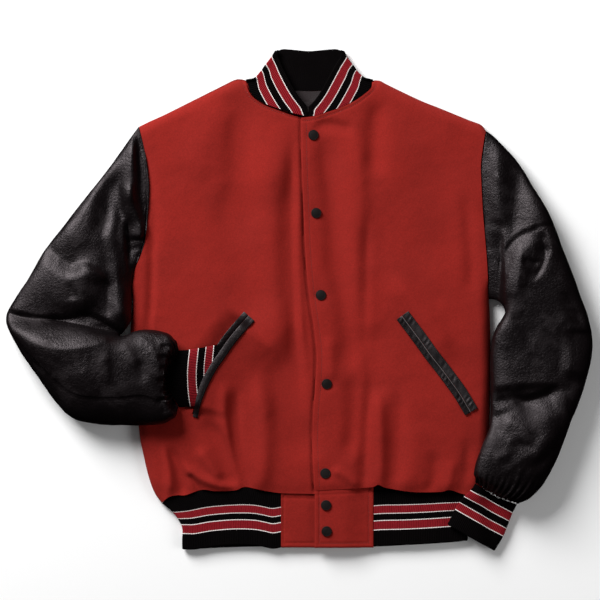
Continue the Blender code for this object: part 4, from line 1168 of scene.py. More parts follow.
def below_cuff_left(x, y):
    """On the body and on the waistband, and down beside them."""
    beside_body = ease((x - 265.0) / 26.0)
    on_body = ease((y + 312.0) / 26.0)
    on_band = BAND_FRONT + 1.0
    return (on_band + 7.0 * on_body) * (1 - beside_body) + 4.0 * beside_body


def fold_over(front, back, fold, columns=5):
    """Columns of points from a front's edge to a back's edge, round the fold that joins them."""
    made = []
    for angle in np.linspace(0, np.pi, columns + 2)[1:-1]:
        share = 0.5 - 0.5 * math.cos(angle)
        line = front * (1 - share) + back * share
        line[:, :2] += (fold - line[:, :2]) * math.sin(angle)
        made.append(line)
    return made


def strip_grid(right, right_fold, back, left_fold, left):
    """Points of a strip from its right front, over the fold and along the back, to its left front."""
    columns = list(np.swapaxes(right, 0, 1))[::-1]
    columns += fold_over(right[:, 0], back[:, 0], right_fold)
    columns += list(np.swapaxes(back, 0, 1))
    columns += fold_over(back[:, -1], left[:, 0], left_fold)
    columns += list(np.swapaxes(left, 0, 1))
    return np.transpose(np.array(columns), (1, 0, 2))[:, ::-1]


def refined(grid, rows, columns):
    """A grid of points made finer on smooth curves, with columns at even distances along its middle."""
    middle = grid[len(grid) // 2]
    reached = travelled(middle)
    wanted = np.interp(np.linspace(0, reached[-1], columns), reached, np.linspace(0, 1, len(middle)))
    finer = along(np.swapaxes(grid, 0, 1), wanted)
    return along(np.swapaxes(finer, 0, 1), rows)


def make_strip(name, grid, rows, columns, free_last, looks, banded=None):
    """A strip of doubled rib knit, its ribs square to its length.

    Free_last says which edge is free. Banded gives the place across the stripes, where it isn't the
    distance from the free edge along a rib.
    """
    outer = refined(grid, rows, columns)
    outward = normals(outer)
    inner = outer - RIB * outward
    along_strip, up = lengths(outer)
    free = up[-1:] - up if free_last else up
    distance = np.broadcast_to(along_strip[len(rows) // 2], up.shape)
    outer = ribbed(outer, outward, distance, free)
    outer, inner = rounded(outer, inner, free, RIB)
    outer[..., 2] = np.maximum(outer[..., 2], 0.0)
    inner[..., 2] = np.maximum(inner[..., 2], 0.2)
    sheet, order = grid_sheet(outer)
    stripes = free if banded is None else banded(outer, free)
    flat = np.dstack([distance, stripes]).reshape(-1, 2)[order]
    return cloth(
        f"{name}_knit", sheet, inner.reshape(-1, 3)[order], flat, looks, [name]
    )


def seam_row(table, xs, gap=0.0):
    """Plan points on a table's curve at values of x, a gap below it."""
    curve = sampled(table, 200)
    curve = curve[np.argsort(curve[:, 0])]
    return np.column_stack([xs, np.interp(xs, curve[:, 0], curve[:, 1]) - gap])


def level(plan, height):
    """Plan points all at one height."""
    return np.dstack([plan, np.full(plan.shape[:2], height)])


def make_waistband(looks):
    """The waistband, one strip from the right front round the back to the left front."""
    rows = np.linspace(0, 1, 6)
    places = np.linspace(0, 1, 13)
    back_places = np.linspace(0, 1, 15)
    radius = np.array([BAND_FRONT / 2, 0.0])
    right_fold, left_fold = edge(BAND_SIDE_RIGHT, rows), edge(BAND_SIDE_LEFT, rows)
    right_in, left_in = right_fold + radius, left_fold - radius
    fronts = []
    for hem, bottom, inner, tab_end in (
        (HEM_RIGHT, BAND_BOTTOM_RIGHT, right_in, TAB_RIGHT[0] - SEAM),
        (HEM_LEFT, BAND_BOTTOM_LEFT, left_in, TAB_LEFT[1] + SEAM),
    ):
        top = seam_row(hem, inner[-1, 0] + (tab_end - inner[-1, 0]) * places, HEM_SEAM)
        inner[-1] = top[0]
        free = seam_row(bottom, inner[0, 0] + (tab_end - inner[0, 0]) * places)
        free[0] = inner[0]
        end = np.linspace(free[-1], top[-1], len(rows))
        plan = between(free, top, inner, end, places, rows)
        fronts.append(level(plan, BAND_FRONT - RIB_ROOM))
    back_xs = right_in[-1, 0] + (left_in[-1, 0] - right_in[-1, 0]) * back_places
    back_top = seam_row(BACK_HEM, back_xs, HEM_SEAM)
    back_top[0], back_top[-1] = right_in[-1], left_in[-1]
    back_free = edge((right_in[0], *BAND_BOTTOM_BACK, left_in[0]), back_places)
    back = level(between(back_free, back_top, right_in, left_in, back_places, rows), RIB_ROOM)
    grid = strip_grid(fronts[0], right_fold, back, left_fold, fronts[1])
    return make_strip("waistband", grid, zones(*BAND_ROWS), BAND_COLUMNS, False, looks)


def collar_stripes(outer, free):
    """The distance square to the free edge on the fronts, and along the ribs on the back."""
    x, y, z = (outer[..., k] for k in range(3))
    ends = (COLLAR_FREE_RIGHT + COLLAR_PAST_RIGHT, COLLAR_FREE_LEFT + COLLAR_PAST_LEFT)
    right, left = (np.abs(beside(table, x, y)[1]) for table in ends)
    front = np.where(x < COLLAR_CENTRE, right, left)
    low = ease((COLLAR_V_TOP - y) / 14.0) * bell(x, COLLAR_CENTRE, 14.0)
    share = ease((z - COLLAR_FOLD * 0.35) / (COLLAR_FOLD * 0.5))
    sides = [np.abs(beside(table, x, y)[1]) for table in (COLLAR_SIDE_RIGHT, COLLAR_SIDE_LEFT)]
    turned = 4.0 * ease((360.0 - y) / 22.0) * ease((22.0 - np.minimum(*sides)) / 22.0)
    return (front * (1 - 0.42 * low) + turned) * share + free * (1 - share)


def make_collar(looks):
    """The collar, one strip from the right front round the back of the neck to the left front."""
    rows = np.linspace(0, 1, 6)
    places = np.linspace(0, 1, 12)
    across = np.linspace(0, 1, 13)
    rise = COLLAR_FOLD + (COLLAR_FRONT - COLLAR_FOLD) * ease(places * 1.3) - RIB_ROOM
    folds_at, fronts = [], []
    for side, neck, free, turn, centre in (
        (COLLAR_SIDE_RIGHT, NECK_RIGHT, COLLAR_FREE_RIGHT, 1.0, COLLAR_CENTRE - COLLAR_PART),
        (COLLAR_SIDE_LEFT, NECK_LEFT, COLLAR_FREE_LEFT, -1.0, COLLAR_CENTRE + COLLAR_PART),
    ):
        fold = edge(side, rows)
        line = sampled(neck, 200)
        line = line[(line[:, 0] - centre) * turn <= 0]
        line = line + np.array([0.0, COLLAR_SEAM])
        inner = fold + np.array([turn * COLLAR_FOLD_WIDTH, 0.0]) * (0.6 + 0.4 * rows)[:, None]
        clear = line[np.abs(line[:, 0] - fold[0, 0]) > 5.0]
        low = by_length(np.vstack([inner[:1], clear]), places)
        high = by_length(np.vstack([inner[-1:], sampled(free, 60)[6:]]), places)
        end = np.linspace(low[-1], high[-1], len(rows))
        plan = between(low, high, inner, end, places, rows)
        fronts.append(np.dstack([plan, np.broadcast_to(rise, plan.shape[:2])]))
        folds_at.append(fold)
    right, left = fronts
    right_in, left_in = right[:, 0, :2], left[:, 0, :2]
    low = seam_row(NECK_BACK, right_in[0, 0] + (left_in[0, 0] - right_in[0, 0]) * across, -SEAM)
    low[0], low[-1] = right_in[0], left_in[0]
    high = edge((right_in[-1], *COLLAR_FREE_BACK[1:-1], left_in[-1]), across)
    back = level(between(low, high, right_in, left_in, across, rows), RIB_ROOM)
    grid = strip_grid(right, folds_at[0], back, folds_at[1], left)
    return make_strip("collar", grid, zones(*COLLAR_ROWS), COLLAR_COLUMNS, True, looks, collar_stripes)


def make_tab(name, span, hem, height, covered, looks):
    """The wool end of the waistband at the front opening.

    Covered makes its upright ends count as further in, so that they stay square.
    """
    places, rows = zones(*TAB_COLUMNS), zones(*TAB_ROWS)
    xs = span[0] + (span[1] - span[0]) * places
    top = seam_row(hem, xs, SEAM)
    bottom = np.column_stack([xs, np.full(len(xs), TAB_BOTTOM)])
    ends = [np.linspace(bottom[k], top[k], len(rows)) for k in (0, -1)]
    plan = between(bottom, top, *ends, places, rows)
    x, y = plan[..., 0], plan[..., 1]
    free = np.minimum(y - TAB_BOTTOM, np.minimum(x - span[0], span[1] - x) + covered)
    z = height(x) + 0.5 * rough(x, y, np.zeros_like(x), spacing=30.0, seed=5)
    z += dent(free, TAB_STITCH, width=1.4, depth=0.9)
    z += dent(top[:, 1] - y, TAB_STITCH, width=1.4, depth=0.7)
    return panel(
        f"{name}_cloth", np.dstack([plan, z]), WOOL, WOOL + SEAM, free, looks, [name]
    )


def tab_right_height(x):
    """Level, a little below the left tab."""
    return np.full_like(x, BAND_FRONT - 0.5)


def tab_left_height(x):
    """On the right tab as far as that goes, then down to the waistband."""
    return BAND_FRONT + (LAP + 1.5) * (1 - ease((x - TAB_RIGHT[1]) / 42.0))


class Surface:
    """The outer side of a made piece, for what is sewn on it."""

    def __init__(self, name):
        piece = bmesh.new()
        piece.from_mesh(bpy.data.objects[name].data)
        self.tree = BVHTree.FromBMesh(piece)
        piece.free()

    def under(self, x, y):
        """The place below a plan point, in millimetres, and the direction square to the cloth there."""
        hit, normal, _, _ = self.tree.ray_cast(Vector((x, y, 120.0)) * MM, Vector((0, 0, -1)))
        if hit is None:
            raise ValueError(f"nothing lies below the point {x:.1f}, {y:.1f}")
        return hit / MM, normal


def make_welt(name, surface, slit, last, near, far, lip, narrowed, pinched, looks):
    """A folded leather strip laid on a front beside a pocket's mouth, from near to far beside its run.

    The strip takes its height from the lip's side of the mouth, at least as far from the mouth as lip.
    Its near edge is narrowed towards the lower end, which is at the place called last. Pinched is how
    deep its gathers are.
    """
    places = np.linspace(-0.03, last, WELT_COLUMNS)
    held_places = np.clip(places, 0, 1)
    corners = np.linspace(0, 1, 19)
    run = directions(edge(slit, corners))
    run = np.stack([np.interp(held_places, corners, column) for column in run.T], axis=-1)
    middle = edge(slit, held_places) + run * ((places - held_places) * WELT_LENGTH)[:, None]
    aside = leftward(run)
    shares = zones(*WELT_ROWS)
    rows = []
    for share in shares:
        offset = near + narrowed * ease((places - 0.66) / 0.36) * (1 - share) + (far - near) * share
        offset = offset[:, None]
        held = np.maximum(offset, lip) if lip > 0 else np.minimum(offset, lip)
        heights = np.array([surface.under(*point)[0].z for point in middle + aside * held])
        smooth = np.convolve(np.pad(heights, 6, mode="edge"), np.ones(13) / 13, mode="valid")
        crown = WELT_LIFT + WELT + WELT_CROWN * math.sin(math.pi * share) ** 0.7
        uneven = 0.55 + 0.45 * np.sin(places * 29.0 + near)
        pulls = np.sin(places * 104.0 + 3.5 * share + 2.4 * np.sin(places * 21.0)) * uneven
        crown += pinched * pulls * math.sin(math.pi * share)
        rows.append(np.column_stack([middle + aside * offset, smooth + crown]))
    grid = np.array(rows)
    if normals(grid)[4, 5, 2] < 0:
        grid = grid[::-1]
        shares = 1 - shares[::-1]
    inner = grid - WELT * normals(grid)
    ends = (np.minimum(places - places[0], places[-1] - places) * WELT_LENGTH)[None, :]
    sides = (np.minimum(shares, 1 - shares) * abs(far - near))[:, None]
    outer, inner = rounded(grid, inner, np.minimum(ends, sides) + 0.15, WELT)
    return wall(f"{name}_leather", outer, inner, looks, [name])


def make_lining(looks):
    """The satin that shows inside the back of the neck."""
    outline = edge(LINING_OUTLINE + LINING_OUTLINE[:1], np.linspace(0, 1, 120, endpoint=False))
    flat = bmesh.new()
    corners = [flat.verts.new(Vector((x, y, WOOL + SEAM)) * MM) for x, y in outline]
    raised = bmesh.ops.extrude_face_region(flat, geom=[flat.faces.new(corners)])
    top = [item for item in raised["geom"] if isinstance(item, bmesh.types.BMVert)]
    bmesh.ops.translate(flat, vec=Vector((0, 0, LINING)) * MM, verts=top)
    bmesh.ops.recalc_face_normals(flat, faces=flat.faces)
    return finish_piece("neck_satin", flat, looks, ["neck_lining"])


def make_snap(index, surface, x, y, looks):
    """The cap of a snap: a domed button in a rolled ring."""
    place, normal = surface.under(x, y)
    cap = bmesh.new()
    profile = [cap.verts.new(Vector((SNAP_RADIUS * r, 0.0, z)) * MM) for r, z in SNAP_PROFILE]
    edges = [cap.edges.new(pair) for pair in zip(profile, profile[1:])]
    bmesh.ops.spin(
        cap, geom=profile + edges, axis=(0, 0, 1), cent=(0, 0, 0), steps=SNAP_SIDES,
        angle=2 * math.pi, use_merge=True,
    )
    bmesh.ops.remove_doubles(cap, verts=cap.verts, dist=0.01 * MM)
    tilt = Vector((0, 0, 1)).rotation_difference(normal).to_matrix()
    bmesh.ops.transform(cap, matrix=tilt.to_4x4(), verts=cap.verts)
    bmesh.ops.translate(cap, vec=(place + normal * SNAP_LIFT) * MM, verts=cap.verts)
    bmesh.ops.recalc_face_normals(cap, faces=cap.faces)
    return finish_piece(f"snap_cap_{index}", cap, looks, [f"snap_{index}"])


def offset_path(table, start, end, aside):
    """Plan points beside a table's curve, between two places on it."""
    curve = edge(table, np.linspace(start, end, 80))
    return curve + aside * leftward(directions(curve))


def make_stitches(name, rows, looks):
    """Rows of topstitching, each a surface and the plan path that it follows."""
    pitch, length, thread = (millimetres(size) for size in ("stitch_pitch", "stitch_length", "thread"))
    seam = bmesh.new()
    for surface, path in rows:
        whole = travelled(path)[-1]
        count = int(whole / pitch)
        starts = by_length(path, np.arange(count) * pitch / whole)
        ends = by_length(path, (np.arange(count) * pitch + length) / whole)
        for (ax, ay), (bx, by) in zip(starts, ends):
            first, square = surface.under(ax, ay)
            last, _ = surface.under(bx, by)
            run = (last - first).normalized()
            side = square.cross(run).normalized()
            turn = Matrix((run, side, run.cross(side))).transposed().to_4x4()
            middle = (first + last) / 2 + square * thread * THREAD_PROUD
            grow = Matrix.Diagonal((length / 2, thread, thread, 1.0))
            place = Matrix.Translation(middle * MM) @ turn @ Matrix.Scale(MM, 4) @ grow
            bmesh.ops.create_icosphere(seam, subdivisions=1, radius=1.0, matrix=place)
    return finish_piece(name, seam, looks, [])


# ---------------------------------------------------------------- finishes


class Nodes:
    """Short calls for laying out a node tree."""

    def __init__(self, tree):
        self.tree = tree
        self.links = tree.links

    def make(self, kind, inputs=(), **settings):
        node = self.tree.nodes.new(kind)
        for key, value in settings.items():
            setattr(node, key, value)
        return self.fill(node, dict(inputs))

    def fill(self, node, inputs):
        """Sets a node's inputs, each to a value or to another node's output."""
        for key, value in inputs.items():
            self.feed(node.inputs[key], value)
        return node

    def feed(self, socket, value):
        if isinstance(value, bpy.types.NodeSocket):
            self.links.new(value, socket)
        else:
            socket.default_value = value

    def maths(self, operation, first, second=0.0):
        return self.make("ShaderNodeMath", {0: first, 1: second}, operation=operation).outputs[0]

    def vectors(self, operation, first, second):
        made = self.make("ShaderNodeVectorMath", {0: first, 1: second}, operation=operation)
        return made.outputs[0]

    def span(self, value, low, high, to_low=0.0, to_high=1.0, smooth=True):
        """A value's range, clamped, stretched to another range."""
        node = self.make(
            "ShaderNodeMapRange",
            {"Value": value, "From Min": low, "From Max": high, "To Min": to_low, "To Max": to_high},
            interpolation_type="SMOOTHSTEP" if smooth else "LINEAR",
        )
        return node.outputs["Result"]

    def mixed(self, factor, first, second, blend="MIX"):
        return self.make(
            "ShaderNodeMix", {0: factor, 6: first, 7: second}, data_type="RGBA", blend_type=blend
        ).outputs[2]

    def noise(self, vector, scale, detail=2.0, roughness=0.5, distortion=0.0, output="Fac"):
        node = self.make(
            "ShaderNodeTexNoise",
            {"Vector": vector, "Scale": scale, "Detail": detail, "Roughness": roughness,
             "Distortion": distortion},
        )
        return node.outputs[output]

    def cells(self, vector, scale):
        """The distance from the edges between cells."""
        return self.make(
            "ShaderNodeTexVoronoi", {"Vector": vector, "Scale": scale}, feature="DISTANCE_TO_EDGE"
        ).outputs["Distance"]

    def cloth_map(self):
        """A place on the uncut cloth, in metres: X along the piece, and Y across it."""
        flat = self.make("ShaderNodeUVMap", uv_map="cloth").outputs["UV"]
        return self.make("ShaderNodeSeparateXYZ", {0: flat}).outputs

    def bump(self, height, strength, distance, normal=None):
        inputs = {"Height": height, "Strength": strength, "Distance": distance}
        if normal is not None:
            inputs["Normal"] = normal
        return self.make("ShaderNodeBump", inputs).outputs["Normal"]


def new_group(name, inputs, outputs):
    """An empty node group. Its inputs have defaults or None, and its outputs are numbers."""
    group = bpy.data.node_groups.new(name, "ShaderNodeTree")
    for label, default in inputs.items():
        kind = "NodeSocketVector" if label == "Vector" else "NodeSocketFloat"
        socket = group.interface.new_socket(label, in_out="INPUT", socket_type=kind)
        if default is not None:
            socket.default_value = default
    for label in outputs:
        group.interface.new_socket(label, in_out="OUTPUT", socket_type="NodeSocketFloat")
    nodes = Nodes(group)
    return group, nodes, nodes.make("NodeGroupInput").outputs, nodes.make("NodeGroupOutput")


def mottle_group(name):
    """Slow colour change over a cloth, and fine fibre flecks."""
    group, nodes, given, out = new_group(
        name, {"Vector": None, "Patch Scale": 18.0, "Fibre Scale": 900.0}, ("Patches", "Fibres")
    )
    nodes.fill(out, {
        "Patches": nodes.noise(given["Vector"], given["Patch Scale"], 3.0, 0.6),
        "Fibres": nodes.noise(given["Vector"], given["Fibre Scale"], 3.0, 0.65, 0.6),
    })
    return group


def knit_group(name):
    """Rib-knit loops along the ribs, from a position on the cloth and a pitch."""
    group, nodes, given, out = new_group(
        name, {"Across": None, "Along": None, "Pitch": 0.0025, "Loop": 0.0016}, ("Loops", "Furrow")
    )
    turns = nodes.maths("DIVIDE", given["Across"], given["Pitch"])
    rib = nodes.maths("ABSOLUTE", nodes.maths("SINE", nodes.maths("MULTIPLY", turns, math.pi)))
    lean = nodes.maths("MULTIPLY", rib, 0.45)
    rows = nodes.maths("DIVIDE", given["Along"], given["Loop"])
    loops = nodes.maths("SINE", nodes.maths("MULTIPLY", nodes.maths("ADD", rows, lean), 2 * math.pi))
    nodes.fill(out, {
        "Loops": nodes.maths("MULTIPLY_ADD", loops, 0.5),
        "Furrow": nodes.span(rib, 0.05, 0.55, 1.0, 0.0),
    })
    return group


def grain_group(name):
    """Leather grain: small domed cells with a finer tooth on them, creases between, and patches of wear."""
    group, nodes, given, out = new_group(
        name, {"Vector": None, "Cell Scale": 620.0}, ("Height", "Creases", "Wear")
    )
    vector = given["Vector"]
    bent = nodes.noise(vector, 160.0, output="Color")
    place = nodes.vectors("ADD", vector, nodes.vectors("MULTIPLY", bent, (0.0012, 0.0012, 0.0012)))
    dome = nodes.span(nodes.cells(place, given["Cell Scale"]), 0.0, 0.16)
    tooth = nodes.noise(vector, 2600.0, 2.0, 0.6)
    wide = nodes.span(nodes.cells(place, 210.0), 0.0, 0.3)
    milled = nodes.noise(vector, 330.0, 3.0, 0.7, 1.2)
    nodes.fill(out, {
        "Height": nodes.maths(
            "ADD", nodes.maths("MULTIPLY", dome, 0.75), nodes.maths("MULTIPLY", tooth, 0.25)
        ),
        "Creases": nodes.maths("ADD", nodes.maths("MULTIPLY", wide, 0.45), milled),
        "Wear": nodes.span(nodes.noise(vector, 26.0, 4.0, 0.65), 0.46, 0.66),
    })
    return group


def group_outputs(nodes, name, **inputs):
    """The outputs of a node group, which is made when it is first asked for."""
    group = bpy.data.node_groups.get(name) or GROUPS[name](name)
    node = nodes.make("ShaderNodeGroup", node_tree=group)
    return nodes.fill(node, {key.replace("_", " "): value for key, value in inputs.items()}).outputs


def new_material(name, roughness, sheen=0.0, specular=0.5):
    """A material with an empty Principled shader, and the place on the piece that its patterns read."""
    made = bpy.data.materials.new(name)
    made.use_nodes = True
    made.node_tree.nodes.clear()
    nodes = Nodes(made.node_tree)
    shader = nodes.make("ShaderNodeBsdfPrincipled", {"Roughness": roughness, "Specular IOR Level": specular})
    if sheen:
        nodes.fill(shader, {"Sheen Weight": sheen, "Sheen Roughness": 0.45})
    nodes.make("ShaderNodeOutputMaterial", {"Surface": shader.outputs["BSDF"]})
    return made, nodes, shader, nodes.make("ShaderNodeTexCoord").outputs["Object"]


def shade(colour, amount=1.0):
    """A colour made darker or lighter, with an alpha of 1."""
    return (*(channel * amount for channel in colour[:3]), 1.0)


def wool_finish(name, looks):
    """Brushed melton: a felted face with short nap and slightly uneven dye."""
    made, nodes, shader, place = new_material(name, 0.95, sheen=0.12, specular=0.12)
    mottled = group_outputs(nodes, "cloth_mottle", Vector=place, Patch_Scale=14.0, Fibre_Scale=520.0)
    wide = nodes.span(mottled["Patches"], 0.3, 0.7)
    colour = nodes.mixed(wide, shade(looks.wool, 0.96), shade(looks.wool, 1.05))
    fibres = nodes.span(mottled["Fibres"], 0.32, 0.7, smooth=False)
    colour = nodes.mixed(fibres, nodes.mixed(1.0, colour, (0.72, 0.72, 0.72, 1), "MULTIPLY"), colour)
    lint = nodes.span(nodes.noise(place, 1500.0, 1.0), 0.72, 0.82)
    felt = nodes.bump(nodes.noise(place, 210.0, 3.0, 0.6), 0.35, 0.0006)
    nap = nodes.noise(place, 1100.0, 3.0, 0.7, 0.8)
    nodes.fill(shader, {
        "Base Color": nodes.mixed(nodes.maths("MULTIPLY", lint, 0.35), colour, shade(looks.wool, 2.2)),
        "Roughness": nodes.span(mottled["Patches"], 0.2, 0.8, 0.9, 1.0),
        "Sheen Tint": shade(looks.wool, 1.8),
        "Normal": nodes.bump(nap, 0.45, 0.0003, felt),
    })
    return made


def leather_finish(name, looks, roughness, gloss, milling, rubbed=0.0, fold=None):
    """Soft black leather with a fine grain, a little worn in random patches.

    One argument paints a sheen on the whole piece, a little pale grey over it as if lit, and fold is where a
    pale painted highlight line along the fold begins on its map.
    """
    made, nodes, shader, place = new_material(name, roughness, specular=gloss)
    cells = group_outputs(nodes, "leather_grain", Vector=place, Cell_Scale=620.0)
    wear = cells["Wear"]
    worn = nodes.maths("MULTIPLY", wear, 0.5)
    colour = nodes.mixed(worn, shade(looks.leather), shade(looks.leather, 1.9))
    # Painted shade: the grain's creases between its cells darkened to 0.6 of the colour
    low = nodes.span(cells["Height"], 0.2, 0.55)
    colour = nodes.mixed(low, nodes.mixed(1.0, colour, (0.6, 0.6, 0.6, 1), "MULTIPLY"), colour)
    # Painted sheen: the whole piece lifted a little towards pale grey, as lit leather looks
    if rubbed:
        colour = nodes.mixed(rubbed, colour, PAINTED_HIGHLIGHT_GREY)
    # Painted highlight: a pale line where the welt's folded edge would catch the light
    if fold is not None:
        fold_highlight = nodes.span(nodes.cloth_map()["Y"], fold, fold + 0.0003)
        colour = nodes.mixed(fold_highlight, colour, PAINTED_HIGHLIGHT_GREY)
    slow = nodes.bump(nodes.noise(place, 60.0, 3.0, 0.55), 0.22, 0.0016)
    milled = nodes.bump(cells["Creases"], milling, 0.0008, slow)
    nodes.fill(shader, {
        "Base Color": colour,
        "Roughness": nodes.span(wear, 0.0, 1.0, roughness - 0.05, roughness + 0.12),
        "Specular Tint": (1.0, 0.88, 0.92, 1.0),
        "Normal": nodes.bump(cells["Height"], 0.35, 0.00022, milled),
    })
    return made


def striped(nodes, colour, reached, bands, line_colour, stripe_colour):
    """The colour with the bands' stripes on it, each filled between two fine lines."""
    start = 0.0
    for width, is_stripe in bands:
        end = start + width
        if is_stripe:
            for low, high, filling in (
                ((start - LINE / 2) * MM, (end + LINE / 2) * MM, line_colour),
                ((start + LINE / 2) * MM, (end - LINE / 2) * MM, stripe_colour),
            ):
                rise = nodes.span(reached, low - LINE_BLUR, low + LINE_BLUR)
                fall = nodes.span(reached, high - LINE_BLUR, high + LINE_BLUR, 1.0, 0.0)
                colour = nodes.mixed(nodes.maths("MULTIPLY", rise, fall), colour, filling)
        start = end
    return colour


def knit_finish(name, looks, bands):
    """Black rib knit with two stripes between fine pale lines. Bands run from the free edge."""
    made, nodes, shader, place = new_material(name, 0.92, specular=0.04)
    parts = nodes.cloth_map()
    pitch = bpy.context.scene.jacket_sizes.rib_pitch
    loops = group_outputs(
        nodes, "rib_knit_loops", Across=parts["X"], Along=parts["Y"], Pitch=pitch, Loop=0.0017
    )
    jag = nodes.maths("MULTIPLY", nodes.maths("SUBTRACT", loops["Loops"], 0.25), 0.00015)
    wander = nodes.maths("MULTIPLY", nodes.maths("SUBTRACT", nodes.noise(place, 30.0), 0.5), 0.0005)
    reached = nodes.maths("ADD", nodes.maths("ADD", parts["Y"], jag), wander)
    mottled = group_outputs(nodes, "cloth_mottle", Vector=place, Patch_Scale=22.0, Fibre_Scale=700.0)
    dark, red, pale = (
        nodes.mixed(mottled["Fibres"], shade(colour, low), shade(colour, high))
        for colour, low, high in (
            (looks.rib, 0.6, 1.7), (looks.stripe, 0.75, 1.15), (looks.line, 0.7, 1.05),
        )
    )
    colour = striped(nodes, dark, reached, bands, pale, red)
    shadow = nodes.maths("MULTIPLY", loops["Furrow"], 0.2)
    looped = nodes.bump(loops["Loops"], 0.5, 0.0005)
    nodes.fill(shader, {
        "Base Color": nodes.mixed(shadow, colour, (0.006, 0.005, 0.006, 1.0)),
        "Roughness": nodes.span(mottled["Patches"], 0.3, 0.7, 0.86, 0.97),
        "Normal": nodes.bump(nodes.noise(place, 1600.0, 2.0, 0.6), 0.3, 0.0002, looped),
    })
    return made


def satin_finish(name, looks):
    """Charcoal satin with a fine diagonal weave."""
    made, nodes, shader, place = new_material(name, 0.42)
    mottled = group_outputs(nodes, "cloth_mottle", Vector=place, Patch_Scale=30.0, Fibre_Scale=900.0)
    twill = nodes.make(
        "ShaderNodeTexWave",
        {"Vector": place, "Scale": 1400.0, "Distortion": 1.0},
        bands_direction="DIAGONAL",
    ).outputs["Fac"]
    nodes.fill(shader, {
        "Base Color": nodes.mixed(mottled["Patches"], shade(looks.lining, 0.8), shade(looks.lining, 1.2)),
        "Roughness": nodes.span(mottled["Fibres"], 0.3, 0.7, 0.36, 0.5),
        "Anisotropic": 0.4,
        "Normal": nodes.bump(twill, 0.3, 0.0002),
    })
    return made


def enamel_finish(name, looks):
    """Black enamel, a little scuffed."""
    made, nodes, shader, place = new_material(name, 0.65, specular=0.12)
    scuffs = group_outputs(nodes, "leather_grain", Vector=place, Cell_Scale=300.0)["Wear"]
    worn = nodes.maths("MULTIPLY", scuffs, 0.3)
    nodes.fill(shader, {
        "Base Color": nodes.mixed(worn, shade(looks.enamel), shade(looks.enamel, 2.5)),
        "Roughness": nodes.span(scuffs, 0.0, 1.0, 0.6, 0.7),
        "Coat Weight": 0.06,
        "Coat Roughness": 0.35,
        "Normal": nodes.bump(nodes.noise(place, 700.0, 3.0), 0.06, 0.0002),
    })
    return made


def thread_finish(name, looks, colour):
    """Twisted sewing thread, in one of the jacket's colours."""
    made, nodes, shader, place = new_material(name, 0.7, sheen=0.2, specular=0.4)
    twist = nodes.noise(place, 3000.0)
    dye = getattr(looks, colour)
    nodes.fill(shader, {
        "Base Color": nodes.mixed(twist, shade(dye, 0.6), shade(dye, 1.3)),
        "Roughness": nodes.span(twist, 0.3, 0.7, 0.6, 0.85),
        "Normal": nodes.bump(twist, 0.4, 0.0002),
    })
    return made


def floor_finish(name, looks):
    """Pale matt paper."""
    made, nodes, shader, place = new_material(name, 0.9, specular=0.2)
    fibre = nodes.noise(place, 40.0, 3.0)
    nodes.fill(shader, {
        "Base Color": nodes.mixed(fibre, shade(looks.floor, 0.99), shade(looks.floor)),
        "Normal": nodes.bump(nodes.noise(place, 900.0), 0.02, 0.0002),
    })
    return made


# The groups and the finishes by name, each with the function that makes it
GROUPS = {"cloth_mottle": mottle_group, "rib_knit_loops": knit_group, "leather_grain": grain_group}
WELT_LEATHER = {"roughness": 0.5, "gloss": 0.5, "milling": 0.15}
FINISHES = {
    "melton_wool": (wool_finish, {}),
    "sleeve_leather": (leather_finish, {"roughness": 0.46, "gloss": 0.32, "milling": 0.45}),
    "welt_leather": (leather_finish, WELT_LEATHER),
    # The left welts' finishes: one with a painted sheen over it, one with a painted highlight along its fold
    "rubbed_leather": (leather_finish, {**WELT_LEATHER, "rubbed": 0.06}),
    "folded_leather": (leather_finish, {**WELT_LEATHER, "fold": 0.0094}),
    "cuff_knit": (knit_finish, {"bands": CUFF_BANDS}),
    "waistband_knit": (knit_finish, {"bands": WAISTBAND_BANDS}),
    "collar_knit": (knit_finish, {"bands": COLLAR_BANDS}),
    "plain_knit": (knit_finish, {"bands": ()}),
    "neck_satin": (satin_finish, {}),
    "snap_enamel": (enamel_finish, {}),
    "red_thread": (thread_finish, {"colour": "thread"}),
    "black_thread": (thread_finish, {"colour": "rib"}),
    "studio_paper": (floor_finish, {}),
}


def finish(name):
    """A finish by its name, made when it is first asked for."""
    maker, details = FINISHES[name]
    return bpy.data.materials.get(name) or maker(name, bpy.context.scene.jacket_colours, **details)


# ---------------------------------------------------------------- what a user can change


def length_setting(label, text, default):
    return bpy.props.FloatProperty(name=label, description=text, default=default, unit="LENGTH", precision=4)


def colour_setting(label, text, default):
    return bpy.props.FloatVectorProperty(
        name=label, description=text, default=default, size=3, min=0.0, max=1.0, subtype="COLOR"
    )


class JacketSizes(bpy.types.PropertyGroup):
    rib_pitch: length_setting("Rib pitch", "Distance from one knitted rib to the next", 0.0026)
    rib_height: length_setting("Rib height", "How far a rib stands above its furrow", 0.0008)
    stitch_pitch: length_setting("Stitch pitch", "Distance from one stitch to the next", 0.0032)
    stitch_length: length_setting("Stitch length", "Length of thread that shows in a stitch", 0.0023)
    thread: length_setting("Thread", "Half the thickness of the sewing thread", 0.0004)
    wrinkle_depth: length_setting("Wrinkle depth", "Depth of the leather's sharp wrinkles", 0.0025)
    fold_depth: bpy.props.FloatProperty(
        name="Fold depth", description="Depth of the wool's folds, as a share of the drafted depth",
        default=1.45, min=0.0, soft_max=2.0, subtype="FACTOR",
    )
    stand_off: length_setting("Camera distance", "Height of the camera above the jacket", 5.0)


